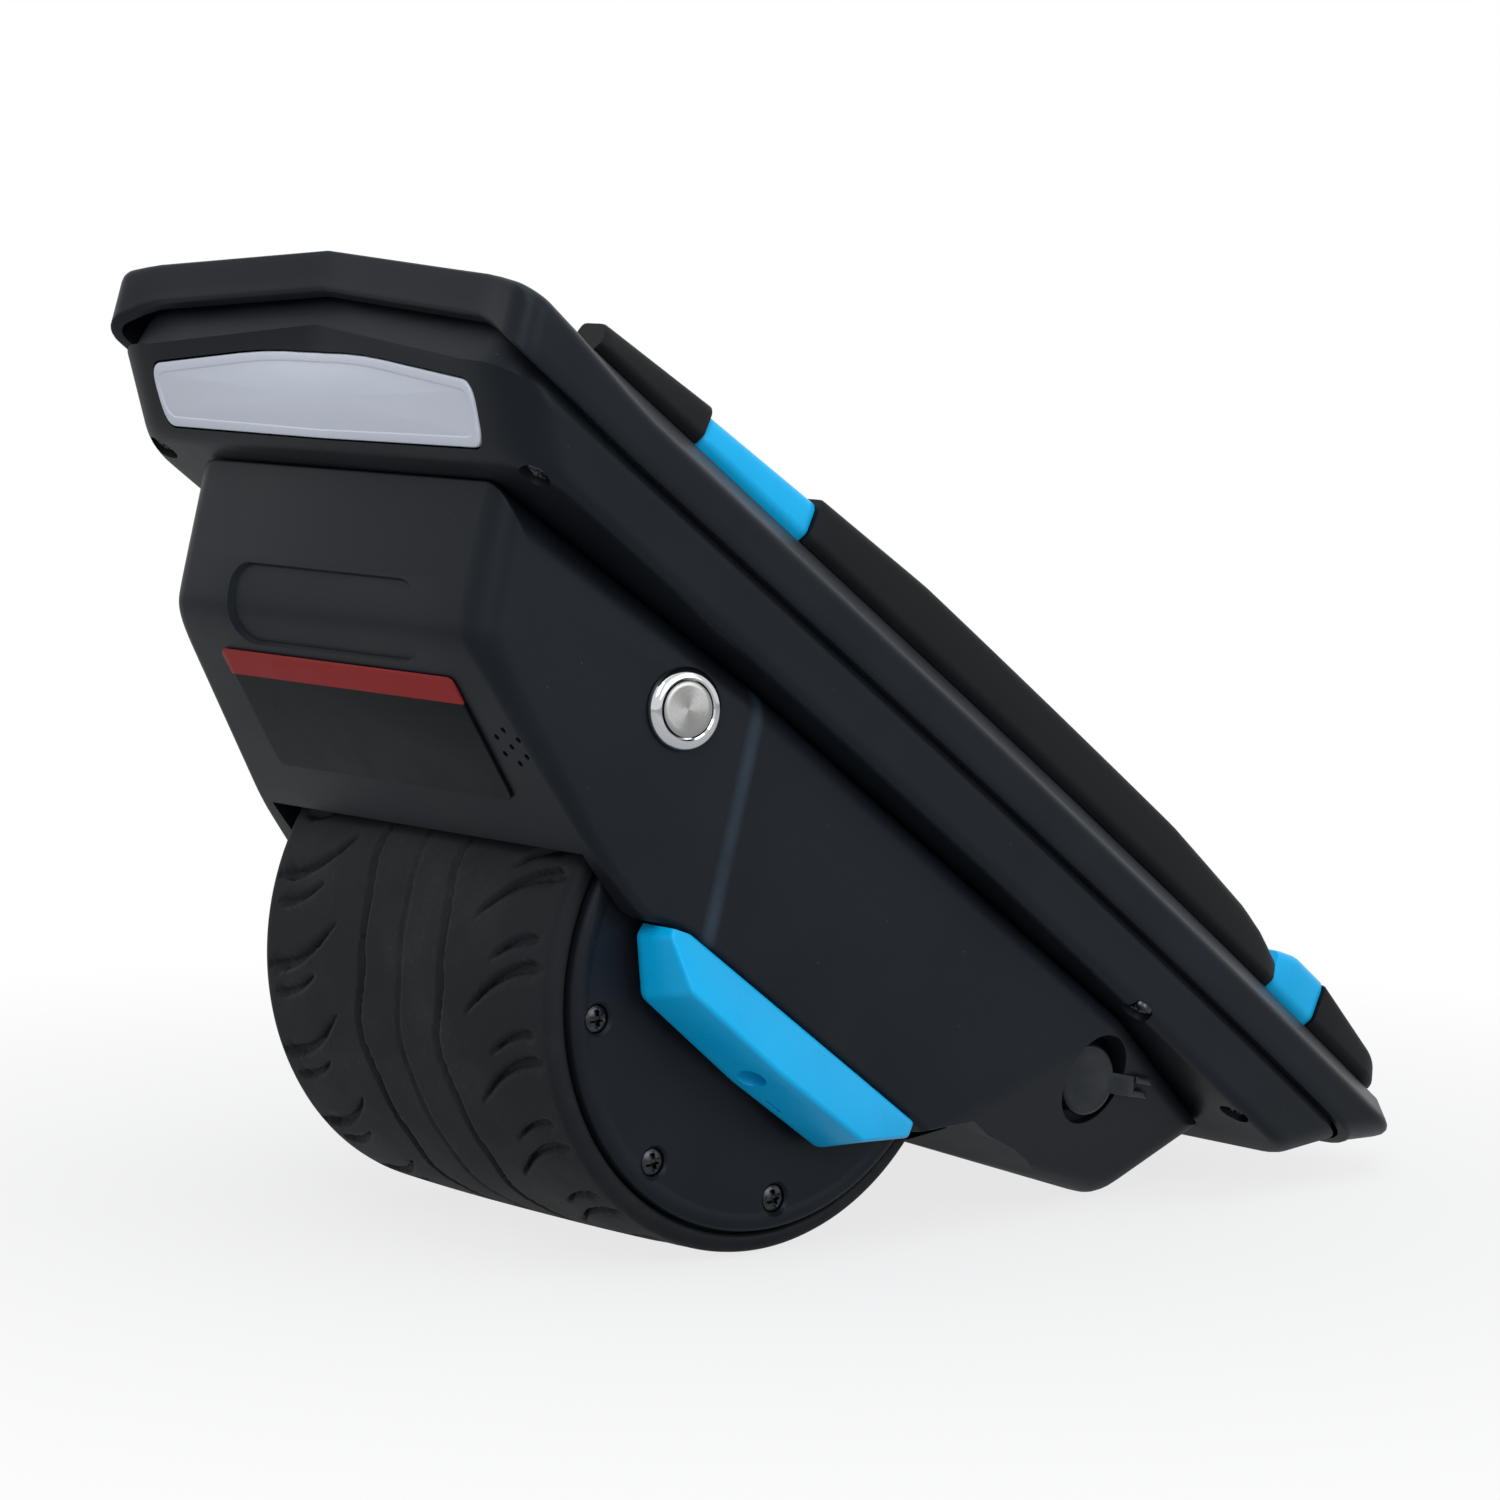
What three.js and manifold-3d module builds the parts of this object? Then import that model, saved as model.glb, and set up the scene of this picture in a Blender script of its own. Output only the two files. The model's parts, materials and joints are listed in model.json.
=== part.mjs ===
// Single-wheel self-balancing skate: one foot stands on a padded deck over a wide hub-motor wheel.
// It is drawn level, with the origin on the wheel's axis, +X towards the nose, +Y towards the rider's left
// and +Z up, then tipped back onto its battery box, which is how it rests when nobody stands on it.
import * as THREE from "three";
import { mergeVertices } from "three/addons/utils/BufferGeometryUtils.js";
import Module from "manifold-3d";

const wasm = await Module();
wasm.setup();

// ---- Clearances ----
const SEAT = 0.3; // between pieces that sit on or in each other
const RUNNING = 0.15; // between a shaft and its bearing
const BREACH = 2; // how far a cutter reaches past the face it opens

// ---- Wheel ----
const TYRE_RADIUS = 60;
const TYRE_WIDTH = 106.6;
const TYRE_SHOULDER = { drop: 1.7, width: 2.8 };
const SIDEWALL_RADIUS = 55;
const TREAD_BORE = 52.3;
const COVER_RADIUS = 54.2;
const COVER_THICKNESS = 5;
const COVER_FACE = 55.3; // from the wheel's middle to the outer face of a hub cover
const COVER_MOUTH = 7.5;
const RIM_WALL = 3;
const RIM_FLANGE = { depth: 7.5, width: 12 };
const BOLT_CIRCLE = 47.4;
const BOLT_COUNT = 8;
const BOLT_START = 0.096; // where the wheel has stopped
const BOLT = { head: 2.9, headHeight: 1.9, shank: 1.5, length: 9, sink: 0.5 };
const AXLE = { journal: 6, shoulder: 8, shoulderEnd: 43.6, collar: 20, collarEnd: 14, halfLength: 63 };
const BEARING = { outer: 13, width: 6 };
const STATOR = { radius: 46, width: 28, teeth: 12, slotDepth: 14, slotShare: 0.42 };
const WINDING = { inner: 27, outer: 43, width: 7 };
const MAGNET_THICKNESS = 2;
const ROUND = 48; // sides of a large turned piece
const SMALL_ROUND = 24; // sides of a small turned piece

// ---- Deck: two stacked shells with a shadow groove between them ----
const NOSE = 158.5;
const TAIL = -188;
const NOSE_LEAN = 3.5; // how far the rim's lower edge sits behind its crease at the nose
const TAIL_LEAN = 11.5; // and ahead of it at the tail
const TAIL_EDGE = 1.5; // width of the rim's slope at the tail
const HALF_WIDTH = 77; // at the widest place
const WIDEST_AT = 30; // it narrows behind this
const TAIL_NARROWING = 5.5; // lost on each side, NARROWING_RUN further back
const NARROWING_RUN = 177;
const NOSE_CORNER = 7;
const TAIL_CORNER = 17;
const TRAY_INSET = 2; // from the rim's widest line
const TRAY_BOTTOM = 47;
const TRAY_TOP = 60;
const TRAY_CHAMFER = 2.5;
const TRAY_NOSE = { bottom: 134.5, top: 151.5 };
const TRAY_TAIL = { bottom: -155, top: -170 };
const TRAY_EDGE = 1.2;
const TRAY_WALL = 3.6;
const TRAY_FLOOR = 3.5;
const GROOVE = 1.5;
const LIP_HEIGHT = 3.5;
const LIP_WALL = 2.4;
const RIM_BOTTOM = TRAY_TOP + GROOVE;
const RIM_EDGE = 1.2;
const RIM_SIDE = 9;
const RIM_SLOPE = { run: 13.2, rise: 8.5 };
const RIM_SHELL = 3;
const DECK_TOP = RIM_BOTTOM + RIM_SIDE + RIM_SLOPE.rise;
const CROWN_RUN = { from: 110, to: 155 }; // the nose rises between these
const CROWN_CORNER = 62; // beyond this it falls away faster towards its corners
const RIM_CROWN = { rise: 12.5, slope: 0.0865, corner: 0.36 };
const CREASE_CROWN = { rise: 11.6, slope: 0.085, corner: 0.1 };
const TRAY_CROWN = { rise: 7.3, slope: 0.123, corner: 0 };
const LEVEL = { rise: 0, slope: 0, corner: 0 };
const FLANGE_SCREWS = [
  [128.5, 68.6],
  [-86, 71],
  [-134, 65],
];
const FLANGE_SINK = { radius: 3.6, depth: 2.2 };

// ---- What the foot touches ----
const RAIL = { outer: 14.2, bulge: 1.5, bulgeHeight: 2.2, width: 10, edge: 1.3 };
const RAIL_TOP = [
  [130, 86],
  [94, 89],
  [57, 91],
  [20, 93],
  [-80, 93],
  [-113, 91],
  [-122, 89.4],
  [-131, 86.5],
];
const REAR_ACCENT_TOP = [
  [-131, 89.5],
  [-138, 91.8],
  [-151, 91.8],
];
const FRONT_RAIL = { from: 93.7, to: 128 };
const FRONT_ACCENT = { from: 57, to: 93.4 };
const REAR_RAIL = { from: -131, to: 56.7 };
const REAR_ACCENT = { from: -150.2, to: -131.3 };
const ACCENT = { drop: 1.6, inset: 1 }; // set below and inside the rail
const HEEL = { start: -150.5, front: 91.5, back: 86, edge: 2.5, corner: 12, steps: 6 };
const FOOT_PAD = { nose: 122, tail: -160, gap: 1.8, corner: 16, thickness: 3.2, edge: 0.8 };
const PAD_TRAVEL = 1.5;
const PLUNGER = { radius: 4, flange: 6, flangeHeight: 2, length: 10 };
const PLUNGER_X = [70, -70];

// ---- Lower housing: a box in front of the wheel, a battery box behind it, cheeks beside it ----
const CHEEK = 67; // half-width of the housing across the cheeks
const HOUSING_TOP = TRAY_BOTTOM - SEAT;
const FRONT_CREASE = { at: 31.8, lean: 0.379 };
const FRONT_TAPER = 0.1235;
const REAR_CREASE = { at: -55, lean: -0.74 };
const REAR_TAPER = 0.313;
const FRONT_TOP_X = 126.8;
const FRONT_BEND = [
  [116.5, 21],
  [113.6, 16],
  [108, 13],
];
const FRONT_EDGE = [63, -5];
const CHEEK_FRONT = [46, -9.4];
const CHEEK_BOTTOM = -6;
const CHEEK_SPAN = { front: 36, rear: -45 };
const REAR_EDGE = [-63.5, -4.2];
const REAR_EDGE_FRONT = -53;
const SKID_DROP = 3; // the underside dips this far below the rear edge before it meets the cheeks
const REAR_RECESS = { half: 40, depth: 4.6, slope: 3 }; // between the two skids under the battery box
const TAIL_CORNER_POINT = [-124, 15.5]; // what the skate leans back on
const TAIL_TOP_X = -143;
const WHEEL_GAP = 3.2;
const COVER_GAP = 1.9;
const HOUSING_WALL = 4;
const FLOOR_THICKNESS = 4.4; // of a bay's sloping floor, measured upright
const BAY_WALL = 4.5; // between the wheel well and either bay
const FRONT_BAY_HALF = 50;
const REAR_BAY_HALF = 45;
const REAR_BEVEL = { start: 46, run: 14, rise: 9.5, vanish: 0.5, lead: -37 };

// ---- Side fairings under the axle ends ----
const FAIRING = {
  front: 41,
  rear: -45,
  inner: COVER_FACE + 2.2,
  ridge: 73.5,
  ridgeZ: -19.5,
  bottom: -23.5,
  overhang: 0.8,
};
const FAIRING_TOP = CHEEK_BOTTOM - SEAT;
const FAIRING_SCREW = { y: 65, radius: 2, hole: 2.3, top: -15, sink: 4.5 };
const CLAMP = { halfLength: 17, width: 5.4, height: 7 };

// ---- Fittings ----
const LENS = { top: 59.3, bottom: 58.2, low: 48.4, high: 63.7, fall: 0.111, depth: 2.6, proud: 0.4 };
const LENS_COLUMNS = 8;
const LIGHT_BOARD = { depth: 1.6, inset: 3, gap: 0.7 };
const LABEL = { halfWidth: 42.9, thickness: 0.5, from: 75.3, to: 104.5 };
const BUTTON = {
  wall: 2.1,
  rise: 0.464,
  head: 9,
  bevel: 1.1,
  height: 2.3,
  cap: 6.1,
  stem: 6,
  stemLength: 12,
  floor: 3.4,
};
const BUTTON_TRAVEL = 1.2;
const PORT = {
  x: -91.5,
  z: 31,
  recess: 10.6,
  floor: 55.5,
  socket: 7.6,
  face: 58.4,
  mouth: 5,
  depth: 7.5,
  tail: 46,
};
const PORT_CAP = { radius: 8.4, thickness: 2.4, strapWidth: 5, strapThickness: 1.4 };
const STRAP_ANCHOR = { x: -110.5, z: 39.5 };
const BATTERY = { gap: 7.3, rear: -117, top: 44 };
const CONTROLLER = { gap: 2.3, end: 98, width: 62, thickness: 7 };
const BUZZER = { y: 41, radius: 6, height: 7 }; // midway along the front bay's floor
const PLATE = { thickness: 2.5, nose: 124, tail: -138, inset: 10, corner: 12 };
const GYRO = { x: 95, length: 26, width: 18, thickness: 3 };

// ---- Materials ----
const PLASTIC = { color: 0x15171b, roughness: 0.42, metalness: 0 };
const RUBBER = { color: 0x1b1b1c, roughness: 0.85, metalness: 0 };
const CYAN = { color: 0x14a9e0, roughness: 0.35, metalness: 0 };
const STEEL = { color: 0xb9bcc0, roughness: 0.3, metalness: 1 };
const DARK_STEEL = { color: 0x3a3c40, roughness: 0.4, metalness: 1 };
const ALUMINIUM = { color: 0xa6a9ad, roughness: 0.45, metalness: 1 };
const COPPER = { color: 0xb0632f, roughness: 0.4, metalness: 1 };
const BOARD = { color: 0x1d5a35, roughness: 0.6, metalness: 0 };
const MILKY = { color: 0xc3c8d6, roughness: 0.3, metalness: 0 };
const WRAP = { color: 0x2b4f9c, roughness: 0.5, metalness: 0 };
const PLATE_INK = { color: 0x111113, roughness: 0.4, metalness: 0 };

// ---- Solid helpers ----
const MERGE_DISTANCE = 1e-4;

/** A closed geometry as a manifold solid with its faces outward. */
function solid(geometry) {
  const bare = geometry.clone();
  bare.deleteAttribute("normal");
  bare.deleteAttribute("uv");
  const merged = mergeVertices(bare, MERGE_DISTANCE);
  const make = (triVerts) =>
    new wasm.Manifold(
      new wasm.Mesh({ numProp: 3, vertProperties: merged.attributes.position.array, triVerts }),
    );
  const faces = new Uint32Array(merged.index.array);
  const made = make(faces);
  if (made.volume() >= 0) return made;
  return make(faces.reverse());
}

/** A manifold solid as a BufferGeometry with flat faces. */
function geometryOf(made) {
  const mesh = made.getMesh();
  const geometry = new THREE.BufferGeometry();
  const points = new Float32Array(mesh.numVert * 3);
  for (let i = 0; i < mesh.numVert; i++)
    points.set(mesh.vertProperties.subarray(i * mesh.numProp, i * mesh.numProp + 3), i * 3);
  geometry.setAttribute("position", new THREE.BufferAttribute(points, 3));
  geometry.setIndex(new THREE.BufferAttribute(mesh.triVerts, 1));
  const flat = geometry.toNonIndexed();
  flat.computeVertexNormals();
  return flat;
}

/** Skins equal-sized rings of points in order and closes both ends with fans. */
function loft(rings) {
  const count = rings[0].length;
  const last = (rings.length - 1) * count;
  const points = rings.flat();
  const middle = (ring) =>
    ring.reduce((sum, p) => sum.add(p), new THREE.Vector3()).divideScalar(ring.length);
  points.push(middle(rings[0]), middle(rings.at(-1)));
  const firstMiddle = points.length - 2;
  const faces = [];
  for (let r = 0; r + 1 < rings.length; r++)
    for (let i = 0; i < count; i++) {
      const a = r * count + i;
      const b = r * count + ((i + 1) % count);
      faces.push(a, b, a + count, b, b + count, a + count);
    }
  for (let i = 0; i < count; i++) {
    const next = (i + 1) % count;
    faces.push(firstMiddle, next, i);
    faces.push(firstMiddle + 1, last + i, last + next);
  }
  const geometry = new THREE.BufferGeometry().setFromPoints(points);
  geometry.setIndex(faces);
  return solid(geometry);
}

/** A piece turned about the wheel's axis, from [radius, y] points that close on themselves. */
function turned(profile, sides = ROUND) {
  const points = profile.map(([r, y]) => new THREE.Vector2(r, y));
  points.push(points[0].clone());
  return solid(new THREE.LatheGeometry(points, sides));
}

/** A round bar along Y. */
function bar(radius, from, to, sides = SMALL_ROUND, x = 0, z = 0) {
  const geometry = new THREE.CylinderGeometry(radius, radius, to - from, sides);
  return solid(geometry.translate(x, (from + to) / 2, z));
}

/** A round bar along Z. */
function post(radius, from, to, x, y, sides = SMALL_ROUND) {
  const geometry = new THREE.CylinderGeometry(radius, radius, to - from, sides);
  return solid(geometry.rotateX(Math.PI / 2).translate(x, y, (from + to) / 2));
}

/** A block between two corners. */
function block(low, high) {
  const size = high.map((v, i) => v - low[i]);
  const mid = high.map((v, i) => (v + low[i]) / 2);
  return solid(new THREE.BoxGeometry(...size).translate(...mid));
}

/** A side profile of [x, z] points carried across from one y to another. */
function slab(profile, from, to) {
  const shape = new THREE.Shape(profile.map(([x, z]) => new THREE.Vector2(x, z)));
  const geometry = new THREE.ExtrudeGeometry(shape, { depth: to - from, bevelEnabled: false });
  return solid(geometry.rotateX(Math.PI / 2).translate(0, to, 0));
}

const mirrored = (made) => made.mirror([0, 1, 0]);
const turnedInto = (made, matrix) => made.transform(matrix.elements);

// ---- Scene helpers ----
const shoe = new THREE.Group();

function add(name, made, finish) {
  const mesh = new THREE.Mesh(geometryOf(made), new THREE.MeshStandardMaterial(finish));
  mesh.name = name;
  shoe.add(mesh);
}

/** Adds a left-hand piece and its mirror image. */
function addPair(name, made, finish) {
  add(name + "_left", made, finish);
  add(name + "_right", mirrored(made), finish);
}

// ---- Deck outline ----
const halfWidth = (x) =>
  HALF_WIDTH - TAIL_NARROWING * (Math.max(0, WIDEST_AT - x) / NARROWING_RUN) ** 2;

/** How far the nose is lifted above the level deck: most on the centre line, little at the corners. */
function crown(x, y, { rise, slope, corner }) {
  const across = Math.abs(y);
  const height = rise - slope * across - corner * Math.max(0, across - CROWN_CORNER);
  return THREE.MathUtils.smoothstep(x, CROWN_RUN.from, CROWN_RUN.to) * Math.max(0, height);
}

const CORNER_STEPS = 4;
const SIDE_STEPS = 9;
const END_STEPS = 3;

/** One level of the deck: straight nose and tail, round corners and bowed sides, as [x, y] points. */
function outline({ nose = NOSE, tail = TAIL, inset = 0, corner = NOSE_CORNER, tailCorner = TAIL_CORNER }) {
  const side = [];
  const arc = (cx, cy, radius, start) => {
    for (let i = 0; i <= CORNER_STEPS; i++) {
      const angle = start + (i / CORNER_STEPS) * (Math.PI / 2);
      side.push([cx + radius * Math.cos(angle), cy + radius * Math.sin(angle)]);
    }
  };
  const noseArcX = nose - corner;
  const tailArcX = tail + tailCorner;
  const noseArcY = halfWidth(noseArcX) - inset - corner;
  const tailArcY = halfWidth(tailArcX) - inset - tailCorner;
  for (let i = 0; i < END_STEPS; i++) side.push([nose, (noseArcY * i) / END_STEPS]);
  arc(noseArcX, noseArcY, corner, 0);
  for (let i = 1; i < SIDE_STEPS; i++) {
    const x = noseArcX + ((tailArcX - noseArcX) * i) / SIDE_STEPS;
    side.push([x, halfWidth(x) - inset]);
  }
  arc(tailArcX, tailArcY, tailCorner, Math.PI / 2);
  for (let i = END_STEPS - 1; i > 0; i--) side.push([tail, (tailArcY * i) / END_STEPS]);
  side.push([tail, 0]);
  const other = side.slice(1, -1).reverse();
  return side.concat(other.map(([x, y]) => [x, -y]));
}

/** The outline at a height, with its nose lifted by a crown. */
function level(height, lift, shape) {
  return outline(shape).map(([x, y]) => new THREE.Vector3(x, y, height + crown(x, y, lift)));
}

const inside = (shape, by) => ({
  nose: shape.nose - by,
  tail: shape.tail + by,
  inset: shape.inset + by,
  corner: Math.max(shape.corner - by, 3),
  tailCorner: Math.max(shape.tailCorner - by, 3),
});

// ---- Wheel ----
const tyreHalf = TYRE_WIDTH / 2;
const coverBack = COVER_FACE - COVER_THICKNESS;
const rimHalf = coverBack - SEAT;
const boltAngle = (i) => BOLT_START + (i / BOLT_COUNT) * 2 * Math.PI;
const onBoltCircle = (i) => [BOLT_CIRCLE * Math.cos(boltAngle(i)), BOLT_CIRCLE * Math.sin(boltAngle(i))];

function tyre() {
  const shoulder = tyreHalf - TYRE_SHOULDER.width;
  const crownDrop = TYRE_RADIUS - TYRE_SHOULDER.drop;
  const half = [
    [TREAD_BORE, rimHalf],
    [SIDEWALL_RADIUS, rimHalf],
    [SIDEWALL_RADIUS, tyreHalf],
    [crownDrop, tyreHalf],
    [TYRE_RADIUS, shoulder],
  ];
  const other = half.map(([r, y]) => [r, -y]).reverse();
  return turned(half.concat(other), ROUND + 16);
}

function hubShell() {
  const outer = TREAD_BORE - SEAT;
  const thin = outer - RIM_WALL;
  const thick = outer - RIM_FLANGE.depth;
  const flange = rimHalf - RIM_FLANGE.width;
  const half = [
    [outer, rimHalf],
    [thick, rimHalf],
    [thick, flange],
    [thin, flange - RIM_WALL],
  ];
  let made = turned([...half, ...half.map(([r, y]) => [r, -y]).reverse()]);
  for (let i = 0; i < BOLT_COUNT; i++) {
    const [x, z] = onBoltCircle(i);
    const drill = BOLT.shank + SEAT;
    const depth = rimHalf - BOLT.length;
    made = made.subtract(bar(drill, depth, rimHalf + BREACH, 8, x, z));
    made = made.subtract(bar(drill, -rimHalf - BREACH, -depth, 8, x, z));
  }
  return made;
}

/** The disc that closes the wheel's left side, with its bearing seat and screw seats. */
function hubCover() {
  const seat = BEARING.outer + SEAT;
  const lip = coverBack - BEARING.width - SEAT;
  const edge = 1.2;
  let made = turned([
    [COVER_MOUTH, COVER_FACE],
    [COVER_MOUTH, coverBack],
    [seat, coverBack],
    [seat, lip],
    [seat + 5, lip],
    [seat + 5, coverBack],
    [COVER_RADIUS, coverBack],
    [COVER_RADIUS, COVER_FACE - edge],
    [COVER_RADIUS - edge, COVER_FACE],
  ]);
  const floor = COVER_FACE - BOLT.sink - BOLT.headHeight - SEAT;
  for (let i = 0; i < BOLT_COUNT; i++) {
    const [x, z] = onBoltCircle(i);
    made = made.subtract(bar(BOLT.head + SEAT, floor, COVER_FACE + BREACH, 14, x, z));
    made = made.subtract(bar(BOLT.shank + SEAT, coverBack - BREACH, floor + 1, 8, x, z));
  }
  return made;
}

/** A cross-head screw of the left hub cover. */
function coverScrew(i) {
  const [x, z] = onBoltCircle(i);
  const top = COVER_FACE - BOLT.sink;
  const under = top - BOLT.headHeight;
  const cross = 0.45;
  const arm = 1.9;
  const deep = 1.1;
  return bar(BOLT.head, under, top, 14, x, z)
    .add(bar(BOLT.shank, rimHalf - BOLT.length + 1, under + 0.1, 8, x, z))
    .subtract(block([x - arm, top - deep, z - cross], [x + arm, top + 1, z + cross]))
    .subtract(block([x - cross, top - deep, z - arm], [x + cross, top + 1, z + arm]));
}

function bearing() {
  const from = coverBack - BEARING.width;
  const to = coverBack - SEAT;
  return turned(
    [
      [AXLE.journal + RUNNING, from],
      [BEARING.outer, from],
      [BEARING.outer, to],
      [AXLE.journal + RUNNING, to],
    ],
    32,
  );
}

function magnetRing() {
  const outer = TREAD_BORE - SEAT - RIM_WALL - SEAT;
  const half = STATOR.width / 2 + 1;
  const inner = outer - MAGNET_THICKNESS;
  return turned([
    [inner, -half],
    [outer, -half],
    [outer, half],
    [inner, half],
  ]);
}

// ---- Axle and stator ----
function axle() {
  const half = [
    [AXLE.collar, AXLE.collarEnd],
    [AXLE.shoulder, AXLE.collarEnd],
    [AXLE.shoulder, AXLE.shoulderEnd],
    [AXLE.journal, AXLE.shoulderEnd],
    [AXLE.journal, AXLE.halfLength],
  ];
  const profile = [[0, AXLE.halfLength], ...half.slice().reverse()];
  const lower = profile.map(([r, y]) => [r, -y]).reverse();
  const points = [...profile, ...lower].map(([r, y]) => new THREE.Vector2(r, y));
  return solid(new THREE.LatheGeometry(points, 32));
}

function statorCore() {
  const half = STATOR.width / 2;
  const bore = AXLE.collar + SEAT;
  const ring = (r) => Array.from({ length: ROUND }, (_, i) => [r, (i / ROUND) * 2 * Math.PI]);
  const shape = new THREE.Shape();
  const slotFloor = STATOR.radius - STATOR.slotDepth;
  const pitch = (2 * Math.PI) / STATOR.teeth;
  for (let i = 0; i < STATOR.teeth; i++) {
    const start = i * pitch;
    const toothEnd = start + pitch * (1 - STATOR.slotShare);
    for (const [r, angle] of [
      [STATOR.radius, start],
      [STATOR.radius, (start + toothEnd) / 2],
      [STATOR.radius, toothEnd],
      [slotFloor, toothEnd],
      [slotFloor, start + pitch],
    ]) {
      const x = r * Math.cos(angle);
      const y = r * Math.sin(angle);
      if (shape.curves.length || shape.currentPoint.lengthSq()) shape.lineTo(x, y);
      else shape.moveTo(x, y);
    }
  }
  const hole = new THREE.Path(
    ring(bore).map(([r, a]) => new THREE.Vector2(r * Math.cos(a), r * Math.sin(a))),
  );
  shape.holes.push(hole);
  const geometry = new THREE.ExtrudeGeometry(shape, { depth: STATOR.width, bevelEnabled: false });
  return solid(geometry.rotateX(Math.PI / 2).translate(0, half, 0));
}

function winding() {
  const from = STATOR.width / 2 + SEAT;
  const to = from + WINDING.width;
  const edge = 2;
  return turned(
    [
      [WINDING.inner, from],
      [WINDING.outer, from],
      [WINDING.outer, to - edge],
      [WINDING.outer - edge, to],
      [WINDING.inner + edge, to],
      [WINDING.inner, to - edge],
    ],
    48,
  );
}

// ---- Lower housing ----
/** The plan of the housing at a height: two straight tapers meeting the cheeks at leaning creases. */
function housingPlan(z) {
  const frontCrease = FRONT_CREASE.at + FRONT_CREASE.lean * z;
  const rearCrease = REAR_CREASE.at + REAR_CREASE.lean * z;
  const nose = FRONT_TOP_X + 10;
  const tail = TAIL_TOP_X - 10;
  const side = [
    [nose, CHEEK - FRONT_TAPER * (nose - frontCrease)],
    [frontCrease, CHEEK],
    [rearCrease, CHEEK],
    [tail, CHEEK - REAR_TAPER * (rearCrease - tail)],
  ];
  const ring = side.concat(side.map(([x, y]) => [x, -y]).reverse());
  return ring.map(([x, y]) => new THREE.Vector3(x, y, z));
}

/** How far the housing's side stands out behind the rear crease. */
function rearSide(x, z) {
  return CHEEK - REAR_TAPER * (REAR_CREASE.at + REAR_CREASE.lean * z - x);
}

function frontSide(x, z) {
  return CHEEK - FRONT_TAPER * (x - FRONT_CREASE.at - FRONT_CREASE.lean * z);
}

const housingProfile = [
  [FRONT_TOP_X, HOUSING_TOP],
  ...FRONT_BEND,
  FRONT_EDGE,
  CHEEK_FRONT,
  [CHEEK_SPAN.front, CHEEK_BOTTOM],
  [CHEEK_SPAN.rear, CHEEK_BOTTOM],
  [REAR_EDGE_FRONT, REAR_EDGE[1] - SKID_DROP],
  REAR_EDGE,
  TAIL_CORNER_POINT,
  [TAIL_TOP_X, HOUSING_TOP],
];

const wellRadius = TYRE_RADIUS + WHEEL_GAP;
const wellHalf = COVER_FACE + COVER_GAP;
const wheelWell = () => bar(wellRadius, -wellHalf, wellHalf, ROUND);
const bayStart = wellRadius + BAY_WALL;

/** The bay's side profile: the housing's own, a wall's thickness inside it. */
function bayProfile(points, start) {
  const top = HOUSING_TOP + BREACH;
  return [[start, top], ...points, [points.at(-1)[0], top]];
}

function portCutter() {
  return bar(PORT.recess, PORT.floor, CHEEK + BREACH, 32, PORT.x, PORT.z).add(
    bar(PORT.socket + SEAT, REAR_BAY_HALF - BREACH, PORT.floor + 1, 32, PORT.x, PORT.z),
  );
}

/** Turns a piece drawn along Y so that it stands square on the housing's front side. */
function onFrontSide() {
  const outward = new THREE.Vector3(FRONT_TAPER, 1, -FRONT_TAPER * FRONT_CREASE.lean).normalize();
  const turn = new THREE.Quaternion().setFromUnitVectors(new THREE.Vector3(0, 1, 0), outward);
  const reach = wellRadius + BUTTON.stem + SEAT + BUTTON.wall;
  const x = reach * Math.cos(BUTTON.rise);
  const z = reach * Math.sin(BUTTON.rise);
  const place = new THREE.Vector3(x, frontSide(x, z), z);
  return new THREE.Matrix4().compose(place, turn, new THREE.Vector3(1, 1, 1));
}

function housing() {
  const lowest = Math.min(FRONT_EDGE[1], CHEEK_FRONT[1], REAR_EDGE[1]) - BREACH;
  let made = loft([housingPlan(lowest), housingPlan(HOUSING_TOP + BREACH)]);
  made = made.intersect(slab(housingProfile, -CHEEK - BREACH, CHEEK + BREACH));
  made = made.subtract(wheelWell());
  const [bendX] = FRONT_BEND.at(-1);
  const frontBay = [
    [bayStart, frontFloor(bayStart)],
    [bendX - HOUSING_WALL, frontFloor(bendX - HOUSING_WALL)],
    [FRONT_BEND[0][0] - HOUSING_WALL, FRONT_BEND[0][1]],
    [FRONT_TOP_X - HOUSING_WALL, HOUSING_TOP],
  ];
  const rearBay = [
    [-bayStart, rearFloor(-bayStart)],
    [TAIL_CORNER_POINT[0] + HOUSING_WALL, rearFloor(TAIL_CORNER_POINT[0] + HOUSING_WALL)],
    [TAIL_TOP_X + HOUSING_WALL, HOUSING_TOP],
  ];
  const keep = bar(bayStart, -CHEEK, CHEEK, ROUND);
  made = made.subtract(
    slab(bayProfile(frontBay, bayStart), -FRONT_BAY_HALF, FRONT_BAY_HALF).subtract(keep),
  );
  made = made.subtract(
    slab(bayProfile(rearBay, -bayStart), -REAR_BAY_HALF, REAR_BAY_HALF).subtract(keep),
  );
  const slot = AXLE.journal + SEAT;
  const slotEnd = AXLE.halfLength + SEAT;
  made = made.subtract(bar(slot, -slotEnd, slotEnd, 32));
  made = made.subtract(block([-slot, -slotEnd, CHEEK_BOTTOM - BREACH], [slot, slotEnd, 0]));
  made = made.subtract(portCutter());
  made = made.subtract(
    turnedInto(bar(BUTTON.stem + SEAT, -BUTTON.stemLength - SEAT, BREACH * 2), onFrontSide()),
  );
  return made.subtract(rearBevel()).subtract(mirrored(rearBevel())).subtract(rearRecess());
}

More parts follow.
